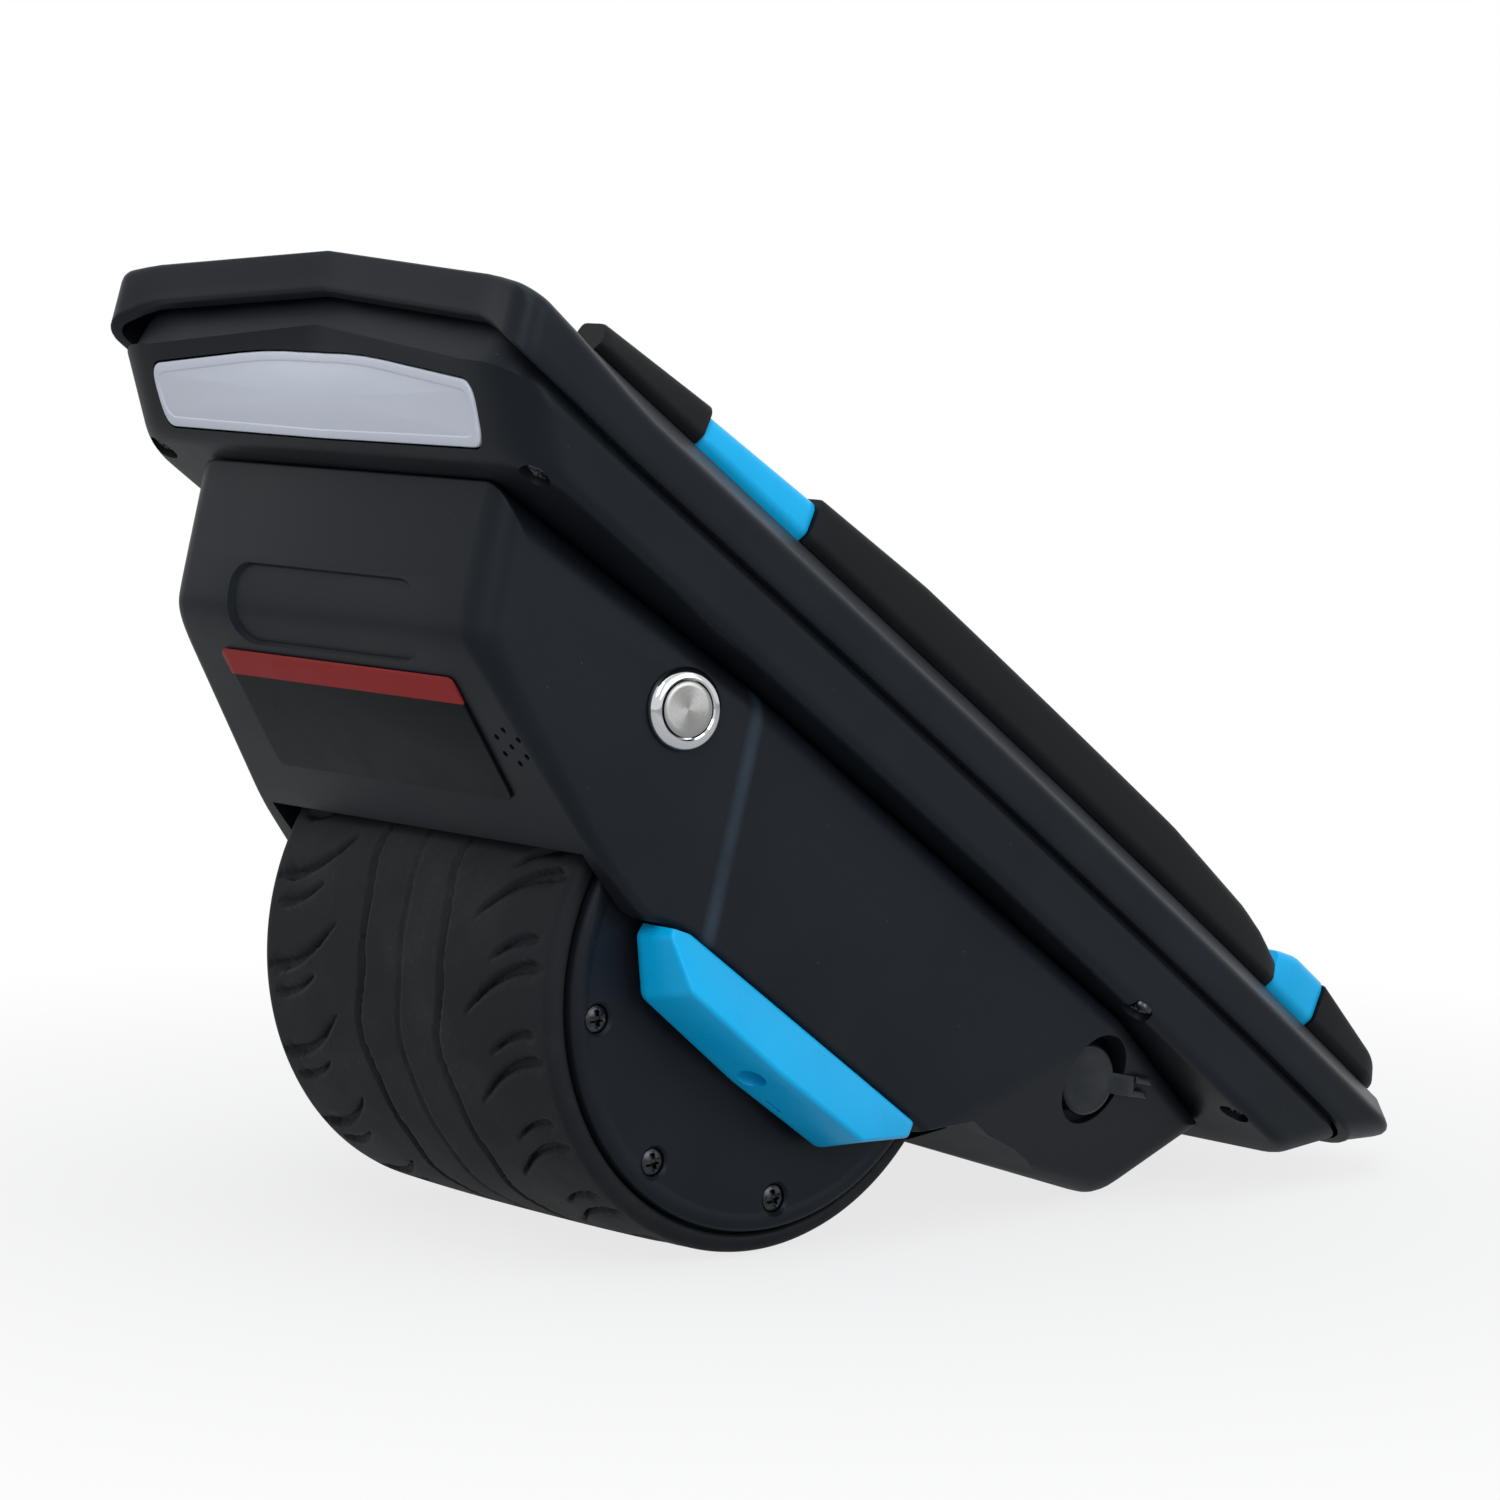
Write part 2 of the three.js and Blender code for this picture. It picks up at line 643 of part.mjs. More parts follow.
/** Cuts the shallow recess that leaves a skid along each side of the battery box's underside. */
function rearRecess() {
  const { half, depth, slope } = REAR_RECESS;
  const outer = half + slope;
  const section = (x) => {
    const z = rearUnderside(x);
    const points = [
      [-outer, z - depth],
      [outer, z - depth],
      [outer, z],
      [half, z + depth],
      [-half, z + depth],
      [-outer, z],
    ];
    return points.map(([y, height]) => new THREE.Vector3(x, y, height));
  };
  return loft([section(TAIL_TOP_X), section(REAR_EDGE[0] + BREACH)]);
}

/** Height of the underside of the battery box, between its skids' edges. */
function rearUnderside(x) {
  const slope = (TAIL_CORNER_POINT[1] - REAR_EDGE[1]) / (TAIL_CORNER_POINT[0] - REAR_EDGE[0]);
  return REAR_EDGE[1] + slope * (x - REAR_EDGE[0]);
}

/** Height of the battery bay's floor, a wall's thickness above the recessed underside. */
function rearFloor(x) {
  return rearUnderside(x) + REAR_RECESS.depth + FLOOR_THICKNESS;
}

/** Cuts the long bevel under the battery box's left side. It runs out at the tail corner. */
function rearBevel() {
  const { start, run, rise, vanish, lead } = REAR_BEVEL;
  const outer = CHEEK + 20;
  const section = (x, up) => {
    const z = rearUnderside(x);
    const points = [
      [start, z - 20],
      [start, z],
      [start + run, z + up],
      [outer, z + up * 2],
      [outer, z - 20],
    ];
    return points.map(([y, height]) => new THREE.Vector3(x, y, height));
  };
  const tail = TAIL_CORNER_POINT[0];
  return loft([section(lead, rise), section(tail, vanish), section(TAIL_TOP_X, vanish)]);
}

// ---- Deck shells ----
const trayShape = (height) => {
  const share = (height - TRAY_BOTTOM) / (TRAY_TOP - TRAY_BOTTOM);
  const mix = (ends) => THREE.MathUtils.lerp(ends.bottom, ends.top, share);
  return { nose: mix(TRAY_NOSE), tail: mix(TRAY_TAIL), inset: TRAY_INSET, corner: 13, tailCorner: 12 };
};

function tray() {
  const shoulder = TRAY_BOTTOM + TRAY_CHAMFER;
  const top = trayShape(TRAY_TOP);
  const outer = loft([
    level(TRAY_BOTTOM, LEVEL, inside(trayShape(TRAY_BOTTOM), TRAY_EDGE)),
    level(shoulder, LEVEL, trayShape(shoulder)),
    level(TRAY_TOP, TRAY_CROWN, top),
  ]);
  const floor = TRAY_BOTTOM + TRAY_FLOOR;
  const overTop = TRAY_TOP + BREACH;
  const hollow = loft([
    level(floor, LEVEL, inside(trayShape(floor), TRAY_WALL)),
    level(TRAY_TOP, TRAY_CROWN, inside(top, TRAY_WALL)),
    level(overTop, TRAY_CROWN, inside(top, TRAY_WALL)),
  ]);
  const lipOuter = inside(top, RIM_SHELL + SEAT + 0.1 - top.inset);
  const ring = (shape, from, to) =>
    loft([level(from, TRAY_CROWN, shape), level(to, RIM_CROWN, shape)]);
  const lipFrom = TRAY_TOP - BREACH;
  const lip = ring(lipOuter, lipFrom, TRAY_TOP + LIP_HEIGHT).subtract(
    ring(inside(lipOuter, LIP_WALL), lipFrom - 1, TRAY_TOP + LIP_HEIGHT + 1),
  );
  let made = outer.subtract(hollow).add(lip).subtract(wheelWell());
  for (const [x, y] of FLANGE_SCREWS)
    for (const side of [1, -1]) {
      const top = TRAY_BOTTOM + FLANGE_SINK.depth;
      made = made.subtract(post(FLANGE_SINK.radius, TRAY_BOTTOM - BREACH, top, x, side * y, 16));
    }
  const lensHole = lensPatch(SEAT, LENS.proud + BREACH, TRAY_WALL + 8);
  return made.subtract(lensHole);
}

const rimShape = { nose: NOSE, tail: TAIL, inset: 0, corner: NOSE_CORNER, tailCorner: TAIL_CORNER };

const rimLower = { ...rimShape, nose: NOSE - NOSE_LEAN, tail: TAIL + TAIL_LEAN };

function rim() {
  const crease = RIM_BOTTOM + RIM_SIDE;
  const top = { ...inside(rimShape, RIM_SLOPE.run), tail: TAIL + TAIL_EDGE };
  const outer = loft([
    level(RIM_BOTTOM, RIM_CROWN, inside(rimLower, RIM_EDGE)),
    level(RIM_BOTTOM + RIM_EDGE, RIM_CROWN, rimLower),
    level(crease, CREASE_CROWN, rimShape),
    level(DECK_TOP, LEVEL, top),
  ]);
  const hollow = loft([
    level(RIM_BOTTOM - BREACH, RIM_CROWN, inside(rimLower, RIM_SHELL)),
    level(RIM_BOTTOM, RIM_CROWN, inside(rimLower, RIM_SHELL)),
    level(crease - RIM_SHELL / 2, CREASE_CROWN, inside(rimShape, RIM_SHELL)),
    level(DECK_TOP - RIM_SHELL, LEVEL, inside(top, RIM_SHELL / 3)),
  ]);
  let made = outer.subtract(hollow);
  for (const x of PLUNGER_X)
    made = made.subtract(post(PLUNGER.radius + SEAT, DECK_TOP - 2 * RIM_SHELL, DECK_TOP + 1, x, 0));
  return made;
}

// ---- Rails, accents and heel lip ----
/** Height at x of a line through [x, z] points listed from the nose back. */
function heightAlong(points, x) {
  const after = points.findIndex(([px]) => px <= x);
  if (after <= 0) return points.at(after)[1];
  const [x0, z0] = points[after - 1];
  const [x1, z1] = points[after];
  return THREE.MathUtils.mapLinear(x, x0, x1, z0, z1);
}

/** A rail's cross-section as [inset from the deck's edge, height above the deck]. */
function railSection(height) {
  return [
    [RAIL.outer, 0],
    [RAIL.outer - RAIL.bulge, RAIL.bulgeHeight],
    [RAIL.outer, height - RAIL.edge],
    [RAIL.outer + RAIL.edge, height],
    [RAIL.outer + RAIL.width - RAIL.edge, height],
    [RAIL.outer + RAIL.width, 0],
  ];
}

function sideRail({ from, to }, steps, { top = RAIL_TOP, drop = 0, inset: extra = 0 } = {}) {
  const rings = [];
  for (let i = 0; i <= steps; i++) {
    const x = from + ((to - from) * i) / steps;
    const base = DECK_TOP + SEAT;
    const section = railSection(heightAlong(top, x) - drop - base);
    rings.push(
      section.map(([inset, up]) => {
        const y = halfWidth(x) - inset - (inset < RAIL.outer + RAIL.edge + extra ? extra : 0);
        return new THREE.Vector3(x, y, base + up);
      }),
    );
  }
  return loft(rings);
}

/** The lip that stops the heel: it follows the tail's outline from side to side. */
function heelLip() {
  const arcX = TAIL + HEEL.edge + HEEL.corner;
  const arcY = halfWidth(arcX) - RAIL.outer - HEEL.corner;
  const place = (angle, inset) => {
    if (angle === null) return [HEEL.start, halfWidth(HEEL.start) - inset];
    const radius = HEEL.corner + RAIL.outer - inset;
    return [arcX + radius * Math.cos(angle), arcY + radius * Math.sin(angle)];
  };
  const ringAt = (angle, side) => {
    const [edgeX] = place(angle, RAIL.outer);
    const back = (HEEL.start - edgeX) / (HEEL.start - TAIL - HEEL.edge);
    const base = DECK_TOP + SEAT;
    const height = THREE.MathUtils.lerp(HEEL.front, HEEL.back, back) - base;
    return railSection(height).map(([inset, up]) => {
      const [x, y] = place(angle, inset);
      return new THREE.Vector3(x, side * y, base + up);
    });
  };
  const angles = [null];
  for (let i = 0; i <= HEEL.steps; i++) angles.push((Math.PI / 2) * (1 + i / HEEL.steps));
  const left = angles.map((angle) => ringAt(angle, 1));
  const right = angles.map((angle) => ringAt(angle, -1)).reverse();
  return loft(left.concat(right));
}

function footPad() {
  const inset = RAIL.outer + RAIL.width + FOOT_PAD.gap;
  const shape = { ...FOOT_PAD, inset, tailCorner: FOOT_PAD.corner };
  const bottom = padBottom;
  return loft([
    level(bottom, LEVEL, shape),
    level(bottom + FOOT_PAD.thickness - FOOT_PAD.edge, LEVEL, shape),
    level(bottom + FOOT_PAD.thickness, LEVEL, inside(shape, FOOT_PAD.edge)),
  ]);
}

const padBottom = DECK_TOP + PAD_TRAVEL + 2 * SEAT;

function plunger(x) {
  const top = padBottom - SEAT;
  const foot = top - PLUNGER.length;
  return post(PLUNGER.radius, foot, top, x, 0).add(
    post(PLUNGER.flange, foot, foot + PLUNGER.flangeHeight, x, 0),
  );
}

// ---- Headlight, set in the tray's sloping nose ----
const noseOutward = new THREE.Vector3(0.75, 0, -0.66).normalize();

/** The point of the tray's nose at a height, y across, moved out from the face by an offset. */
function noseFace(y, z, offset) {
  const top = TRAY_TOP + crown(TRAY_NOSE.top, y, TRAY_CROWN);
  const x = THREE.MathUtils.mapLinear(z, TRAY_BOTTOM, top, TRAY_NOSE.bottom, TRAY_NOSE.top);
  return new THREE.Vector3(x, y, z).addScaledVector(noseOutward, offset);
}

/** The lens's outline, grown by an amount, between two offsets from the nose. */
function lensPatch(grow, front, depth) {
  const rings = [];
  for (let i = 0; i <= LENS_COLUMNS; i++) {
    const across = (2 * i) / LENS_COLUMNS - 1;
    const low = across * (LENS.bottom + grow);
    const high = across * (LENS.top + grow);
    const top = LENS.high - LENS.fall * Math.abs(high) + grow;
    rings.push([
      noseFace(low, LENS.low - grow, front),
      noseFace(high, top, front),
      noseFace(high, top, -depth),
      noseFace(low, LENS.low - grow, -depth),
    ]);
  }
  return loft(rings);
}

function lightBoard() {
  const front = LENS.proud - LENS.depth - LIGHT_BOARD.gap;
  return lensPatch(-LIGHT_BOARD.inset, front, LIGHT_BOARD.depth - front);
}

// ---- Fairings and axle clamps ----
function fairing() {
  const stations = [
    [FAIRING.front, 0.35, 0.32],
    [FAIRING.front - 9, 1, 0.9],
    [0, 1, 1],
    [FAIRING.rear + 15, 0.9, 0.97],
    [FAIRING.rear, 0.1, 0.3],
  ];
  const outerTop = CHEEK + FAIRING.overhang;
  const rings = stations.map(([x, out, down]) => {
    const ridgeZ = THREE.MathUtils.lerp(FAIRING_TOP, FAIRING.ridgeZ, down);
    const bottom = THREE.MathUtils.lerp(FAIRING_TOP, FAIRING.bottom, down);
    const ridge = THREE.MathUtils.lerp(outerTop, FAIRING.ridge, out);
    return [
      new THREE.Vector3(x, FAIRING.inner, FAIRING_TOP),
      new THREE.Vector3(x, outerTop, FAIRING_TOP),
      new THREE.Vector3(x, ridge, ridgeZ),
      new THREE.Vector3(x, FAIRING.inner + 2, bottom),
      new THREE.Vector3(x, FAIRING.inner, bottom + 1),
    ];
  });
  const gap = CLAMP.halfLength + SEAT;
  const clampLow = CHEEK_BOTTOM - SEAT - CLAMP.height;
  const pocket = block(
    [-gap, FAIRING.inner - 1, clampLow - SEAT],
    [gap, FAIRING.inner + SEAT + CLAMP.width + SEAT, CHEEK_BOTTOM + 1],
  );
  const { y, hole: radius, top } = FAIRING_SCREW;
  const hole = post(radius, FAIRING.bottom - BREACH, top, 0, y, 16);
  const nose = cheekClearance();
  return loft(rings).subtract(pocket).subtract(hole).subtract(nose);
}

/** Keeps the fairing's ends clear of the housing's lower edge. */
function cheekClearance() {
  const gap = SEAT;
  const front = [
    [CHEEK_SPAN.front - gap * 4, CHEEK_BOTTOM + 1],
    [CHEEK_SPAN.front - gap * 4, CHEEK_BOTTOM - gap],
    [CHEEK_FRONT[0], CHEEK_FRONT[1] - gap * 1.5],
    [FRONT_EDGE[0], FRONT_EDGE[1] - gap * 1.5],
    [FRONT_EDGE[0], CHEEK_BOTTOM + 1],
  ];
  return slab(front, FAIRING.inner - BREACH, CHEEK + 20);
}

function clamp() {
  const top = CHEEK_BOTTOM - SEAT;
  const from = FAIRING.inner + SEAT;
  return block([-CLAMP.halfLength, from, top - CLAMP.height], [CLAMP.halfLength, from + CLAMP.width, top]);
}

function fairingScrew() {
  const { y, radius, top, sink } = FAIRING_SCREW;
  return post(radius, FAIRING.bottom + sink, top - SEAT, 0, y, 16);
}

// ---- Fittings on and in the housing ----
function buttonBody() {
  const collar = [
    [BUTTON.cap + SEAT, BUTTON.height],
    [BUTTON.head - BUTTON.bevel, BUTTON.height],
    [BUTTON.head, BUTTON.height - BUTTON.bevel],
    [BUTTON.head, SEAT],
    [BUTTON.stem, SEAT],
    [BUTTON.stem, -BUTTON.stemLength],
    [0, -BUTTON.stemLength],
    [0, -BUTTON.floor],
    [BUTTON.stem - 1, -BUTTON.floor],
    [BUTTON.stem - 1, SEAT],
    [BUTTON.cap + SEAT, SEAT],
  ];
  const points = collar.map(([r, y]) => new THREE.Vector2(r, y));
  const ring = solid(new THREE.LatheGeometry([...points, points[0].clone()], 32));
  return turnedInto(ring, onFrontSide());
}

function buttonCap() {
  const stem = bar(BUTTON.stem - 1 - SEAT, SEAT - BUTTON.floor + BUTTON_TRAVEL, SEAT * 2 + BUTTON_TRAVEL);
  const face = bar(BUTTON.cap, SEAT + BUTTON_TRAVEL + 0.05, BUTTON.height + 0.1, 32);
  return turnedInto(stem.add(face), onFrontSide());
}

function chargeSocket() {
  const { x, z, socket, face, mouth, depth, tail } = PORT;
  let made = bar(socket, tail, face, 32, x, z).subtract(bar(mouth, face - depth, face + BREACH, 32, x, z));
  for (let i = 0; i < 3; i++) {
    const angle = (i / 3) * 2 * Math.PI + Math.PI / 2;
    const px = x + 3 * Math.cos(angle);
    const pz = z + 3 * Math.sin(angle);
    made = made.add(bar(0.6, face - depth - 1, face - depth + 2, 8, px, pz));
  }
  return made;
}

/** The rubber cap over the socket, with the strap that ties it to the housing's side. */
function chargeCap() {
  const from = PORT.face + SEAT;
  const to = from + PORT_CAP.thickness;
  const cap = bar(PORT_CAP.radius, from, to, 32, PORT.x, PORT.z);
  const run = new THREE.Vector3(STRAP_ANCHOR.x - PORT.x, 0, STRAP_ANCHOR.z - PORT.z);
  const reach = run.length();
  const along = run.normalize();
  const across = new THREE.Vector3(-along.z, 0, along.x).multiplyScalar(PORT_CAP.strapWidth / 2);
  const edge = (distance, side, height) => {
    const p = new THREE.Vector3(PORT.x, 0, PORT.z).addScaledVector(along, distance);
    p.addScaledVector(across, side);
    return p.setY(height ?? rearSide(p.x, p.z) + SEAT);
  };
  const up = new THREE.Vector3(0, PORT_CAP.strapThickness, 0);
  const rings = [
    [PORT_CAP.radius * 0.5, to - 1],
    [PORT_CAP.radius * 0.8, undefined],
    [reach, undefined],
  ].map(([distance, height]) => {
    const low = [edge(distance, 1, height), edge(distance, -1, height)];
    return [...low, low[1].clone().add(up), low[0].clone().add(up)];
  });
  return cap.add(loft(rings));
}

function labelPlate() {
  const z = (x) => FRONT_EDGE[1] + frontSlope * (x - FRONT_EDGE[0]) - SEAT * 1.1;
  const thick = LABEL.thickness * 1.08;
  return slab(
    [
      [LABEL.from, z(LABEL.from)],
      [LABEL.to, z(LABEL.to)],
      [LABEL.to, z(LABEL.to) - thick],
      [LABEL.from, z(LABEL.from) - thick],
    ],
    -LABEL.halfWidth,
    LABEL.halfWidth,
  );
}

function batteryPack() {
  const gap = SEAT * 1.2;
  const half = REAR_BAY_HALF - gap;
  const front = -bayStart - BATTERY.gap;
  return slab(
    [
      [front, BATTERY.top],
      [front, rearFloor(front) + gap],
      [BATTERY.rear, rearFloor(BATTERY.rear) + gap],
      [BATTERY.rear, BATTERY.top],
    ],
    -half,
    half,
  );
}

const frontSlope = (FRONT_BEND.at(-1)[1] - FRONT_EDGE[1]) / (FRONT_BEND.at(-1)[0] - FRONT_EDGE[0]);

/** Height of the front bay's floor, parallel to the box's sloping underside. */
function frontFloor(x) {
  return FRONT_EDGE[1] + frontSlope * (x - FRONT_EDGE[0]) + FLOOR_THICKNESS;
}

/** Lays a geometry drawn about the origin on the front bay's floor. */
function onFrontFloor(geometry, height, x, y) {
  geometry.translate(0, 0, height / 2 + SEAT).rotateY(-Math.atan(frontSlope));
  return solid(geometry.translate(x, y, frontFloor(x)));
}

function motorController() {
  const { gap, end, width, thickness } = CONTROLLER;
  const start = bayStart + gap;
  const geometry = new THREE.BoxGeometry(end - start, width, thickness);
  return onFrontFloor(geometry, thickness, (start + end) / 2, 0);
}

function buzzer() {
  const { radius, height, y } = BUZZER;
  const x = (bayStart + FRONT_BEND.at(-1)[0] - HOUSING_WALL) / 2;
  const geometry = new THREE.CylinderGeometry(radius, radius, height, SMALL_ROUND);
  return onFrontFloor(geometry.rotateX(Math.PI / 2), height, x, y);
}

const plateBottom = TRAY_BOTTOM + TRAY_FLOOR + SEAT;

function chassisPlate() {
  const shape = { ...PLATE, tailCorner: PLATE.corner };
  const ring = (z) => level(z, LEVEL, shape);
  return loft([ring(plateBottom), ring(plateBottom + PLATE.thickness)]).subtract(wheelWell());
}

function gyroBoard() {
  const z = plateBottom + PLATE.thickness + SEAT;
  return block(
    [GYRO.x - GYRO.length / 2, -GYRO.width / 2, z],
    [GYRO.x + GYRO.length / 2, GYRO.width / 2, z + GYRO.thickness],
  );
}

// ---- Assembly ----
add("tyre", tyre(), RUBBER);
add("hub_shell", hubShell(), ALUMINIUM);
add("magnet_ring", magnetRing(), DARK_STEEL);
addPair("hub_cover", hubCover(), PLASTIC);
addPair("wheel_bearing", bearing(), STEEL);
for (let i = 0; i < BOLT_COUNT; i++) {
  add("cover_screw_left_" + (i + 1), coverScrew(i), DARK_STEEL);
  add("cover_screw_right_" + (i + 1), mirrored(coverScrew(i)), DARK_STEEL);
}
add("axle", axle(), STEEL);
add("stator_core", statorCore(), DARK_STEEL);
addPair("stator_winding", winding(), COPPER);
addPair("axle_clamp", clamp(), ALUMINIUM);

add("lower_housing", housing(), PLASTIC);
add("deck_tray", tray(), PLASTIC);
add("deck_rim", rim(), PLASTIC);
addPair("front_rail", sideRail(FRONT_RAIL, 4), RUBBER);
addPair("rear_rail", sideRail(REAR_RAIL, 12), RUBBER);
addPair("front_accent", sideRail(FRONT_ACCENT, 3, ACCENT), CYAN);
addPair("rear_accent", sideRail(REAR_ACCENT, 4, { top: REAR_ACCENT_TOP, inset: ACCENT.inset }), CYAN);
add("heel_lip", heelLip(), RUBBER);
add("foot_pad", footPad(), RUBBER);
PLUNGER_X.forEach((x, i) => add("foot_switch_" + ["front", "rear"][i], plunger(x), PLASTIC));
addPair("side_fairing", fairing(), CYAN);
addPair("fairing_screw", fairingScrew(), DARK_STEEL);

add("headlight_lens", lensPatch(0, LENS.proud, LENS.depth - LENS.proud), MILKY);
add("headlight_board", lightBoard(), BOARD);
add("label_plate", labelPlate(), PLATE_INK);
add("power_switch", buttonBody(), STEEL);
add("power_button", buttonCap(), STEEL);
add("charge_socket", chargeSocket(), PLASTIC);
add("charge_cap", chargeCap(), RUBBER);
add("battery_pack", batteryPack(), WRAP);
add("motor_controller", motorController(), ALUMINIUM);
add("buzzer", buzzer(), PLASTIC);
add("chassis_plate", chassisPlate(), ALUMINIUM);
add("gyro_board", gyroBoard(), BOARD);

// ---- Rest pose: leaning back until the tail corner meets the floor that the tyre stands on ----
const tailReach = Math.hypot(...TAIL_CORNER_POINT);
const tailAngle = Math.atan2(TAIL_CORNER_POINT[1], -TAIL_CORNER_POINT[0]);
const REST_TILT = Math.asin(TYRE_RADIUS / tailReach) + tailAngle;
shoe.rotation.y = -REST_TILT;
shoe.name = "skate";

const part = new THREE.Group();
part.add(shoe);
const box = new THREE.Box3().setFromObject(part, true);
shoe.position.set(-(box.min.x + box.max.x) / 2, -(box.min.y + box.max.y) / 2, -box.min.z);
part.updateMatrixWorld(true);

export default part;
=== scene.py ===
"""Single-wheel self-balancing skate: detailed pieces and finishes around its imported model."""

import json
import math
from functools import cached_property

import bmesh
import bpy
import numpy as np
from bpy.props import FloatProperty, FloatVectorProperty, PointerProperty
from mathutils import Matrix, Vector


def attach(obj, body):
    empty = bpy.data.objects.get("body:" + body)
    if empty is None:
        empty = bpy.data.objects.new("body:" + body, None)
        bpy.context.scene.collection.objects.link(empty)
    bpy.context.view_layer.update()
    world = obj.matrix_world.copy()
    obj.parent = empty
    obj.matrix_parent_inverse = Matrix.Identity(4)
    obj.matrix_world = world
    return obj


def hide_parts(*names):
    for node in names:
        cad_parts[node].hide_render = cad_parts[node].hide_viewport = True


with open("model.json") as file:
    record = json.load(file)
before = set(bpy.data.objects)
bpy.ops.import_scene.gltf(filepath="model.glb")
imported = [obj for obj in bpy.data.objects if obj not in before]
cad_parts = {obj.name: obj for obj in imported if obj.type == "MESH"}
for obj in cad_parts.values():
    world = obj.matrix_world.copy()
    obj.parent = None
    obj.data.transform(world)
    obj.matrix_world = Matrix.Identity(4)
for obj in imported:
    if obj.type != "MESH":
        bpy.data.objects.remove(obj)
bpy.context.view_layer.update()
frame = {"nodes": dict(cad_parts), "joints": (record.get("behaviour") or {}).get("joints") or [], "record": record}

bl_info = {
    "name": "Self-balancing skate",
    "version": (1, 0, 0),
    "blender": (4, 5, 0),
    "location": "View3D > Sidebar > Skate",
    "description": "Builds the visible pieces and finishes of a single-wheel self-balancing skate",
    "category": "Object",
}

# ---- The level frame: millimetres from the axle, X to the nose, Y to the rider's left, Z up ----
JOINTS = {joint["name"]: joint for joint in frame["joints"]}
AXLE_AT = np.array(JOINTS["wheel_spin"]["pos_m"], float)
UP = np.array(next(m["axis"] for m in frame["record"]["mounts"] if m["name"] == "foot_deck"), float)
FORWARD = np.array([UP[2], 0.0, -UP[0]])
MM = 0.001
LEVEL = np.array([FORWARD, [0.0, 1.0, 0.0], UP])

# ---- Wheel ----
TYRE_HALF = 53.3
SIDEWALL = 55.0
TREAD_BORE = 52.3
BEAD_HALF = 50.0
SHOULDER = 2.8
DOMING = 0.9
COVER_FACE = 55.3
# The cover and the screws' seats as (radius, depth below the outer face)
COVER_PROFILE = (
    (8, 0), (7.5, 0.5), (7.5, 5), (13.3, 5), (13.3, 11.3), (18.3, 11.3), (18.3, 5), (54.2, 5), (54.2, 1.6),
    (53.9, 0.7), (53.2, 0.15), (52.4, 0), (50.8, 0), (50.2, 0.25), (49.6, 0.25), (44, 0.25), (30, 0.5),
    (20, 0.5), (19, 0), (12, 0),
)
SCREW_SEAT = ((0, 2.7), (3.25, 2.7), (3.25, 0.9), (4.2, -0.2), (4.2, -1.7), (0, -1.7))
BOLT_CIRCLE = 47.4
BOLT_COUNT = 8
BOLT_START = 0.096
SCREW_HEAD = 2.9
SCREW_HEIGHT = 1.9
SCREW_SINK = 0.5
TREAD_PITCHES = 18
GROOVE_AT = 14.5

# ---- Housing ----
SIDES = {"left": 1, "right": -1}
CHEEK = 67.0
FRONT_CREASE = (31.8, 0.379)
FRONT_TAPER = 0.1235
REAR_CREASE = (-55.0, -0.74)
REAR_TAPER = 0.313
CREASE_SOFTNESS = 2.2
SIDE_PROFILE = np.array(
    # x, z, radius of the corner in side view, radius of the edge towards the side
    [
        (126.8, 46.7, 0.8, 7.0),
        (116.5, 21.0, 7.0, 7.5),
        (113.6, 16.0, 3.0, 6.5),
        (108.0, 13.0, 6.0, 5.0),
        (63.0, -5.0, 5.0, 2.6),
        (46.0, -9.4, 3.0, 2.0),
        (36.0, -6.0, 2.0, 1.6),
        (-45.0, -6.0, 2.0, 1.6),
        (-53.0, -7.2, 2.0, 1.8),
        (-63.5, -4.2, 3.0, 2.6),
        (-124.0, 15.5, 6.0, 5.0),
        (-143.0, 46.7, 0.8, 6.0),
    ]
)
WELL_RADIUS = 63.2
WELL_HALF = 57.2
BAY_START = 67.7
WALL = 4.0
FLOOR = 4.4
REAR_FLOOR = 9.0
AXLE_SLOT = 6.3
SLOT_REACH = 63.3
PORT = (-91.5, 31.0)
PORT_FACE = 58.4
STRAP_ANCHOR = (-110.5, 39.5)
SWITCH_REACH, SWITCH_RISE = 71.6, 0.464
FRONT_SLOPE = 0.4008
RECESS = {"half": 34.0, "corner": 6.0, "depth": 1.1, "top": 26.6, "end": 105.5, "flare": 1.1}

# ---- Deck ----
HALF_WIDTH = 77.0
NOSE = 158.5
TAIL = -188.0
TRAY_BOTTOM = 47.0
TRAY_TOP = 60.0
TRAY_NOSE, TRAY_TAIL = (134.5, 17.0), (-155.0, -15.0)
TRAY_EDGE = 2.5
RIM_BOTTOM = 61.5
DECK_TOP = 79.0
RIM_CROWN = (12.5, 0.0865, 0.36)
CREASE_CROWN = (11.6, 0.085, 0.1)
TRAY_CROWN = (7.3, 0.123, 0.0)
FLAT = (0.0, 0.0, 0.0)
FLANGE_SCREWS = ((128.5, 68.6), (-86.0, 71.0), (-134.0, 65.0))
RAIL_TOP = ((130, 86), (94, 89), (57, 91), (20, 93), (-80, 93), (-113, 91), (-122, 89.4), (-131, 86.5))
REAR_ACCENT_TOP = ((-131, 89.5), (-138, 91.8), (-151, 91.8))
RAIL_OUTER = 14.2
GAP = 0.3

# ---- Meshes ----
MERGE = 0.002
SHARP = 34.0
WELL_SIDES = 144


# ---- Numpy helpers ----
def placed(points):
    """Level millimetres to the row frame in metres: AXLE_AT + (x FORWARD + y Y + z UP) / 1000."""
    return AXLE_AT + np.asarray(points, float) @ LEVEL * MM


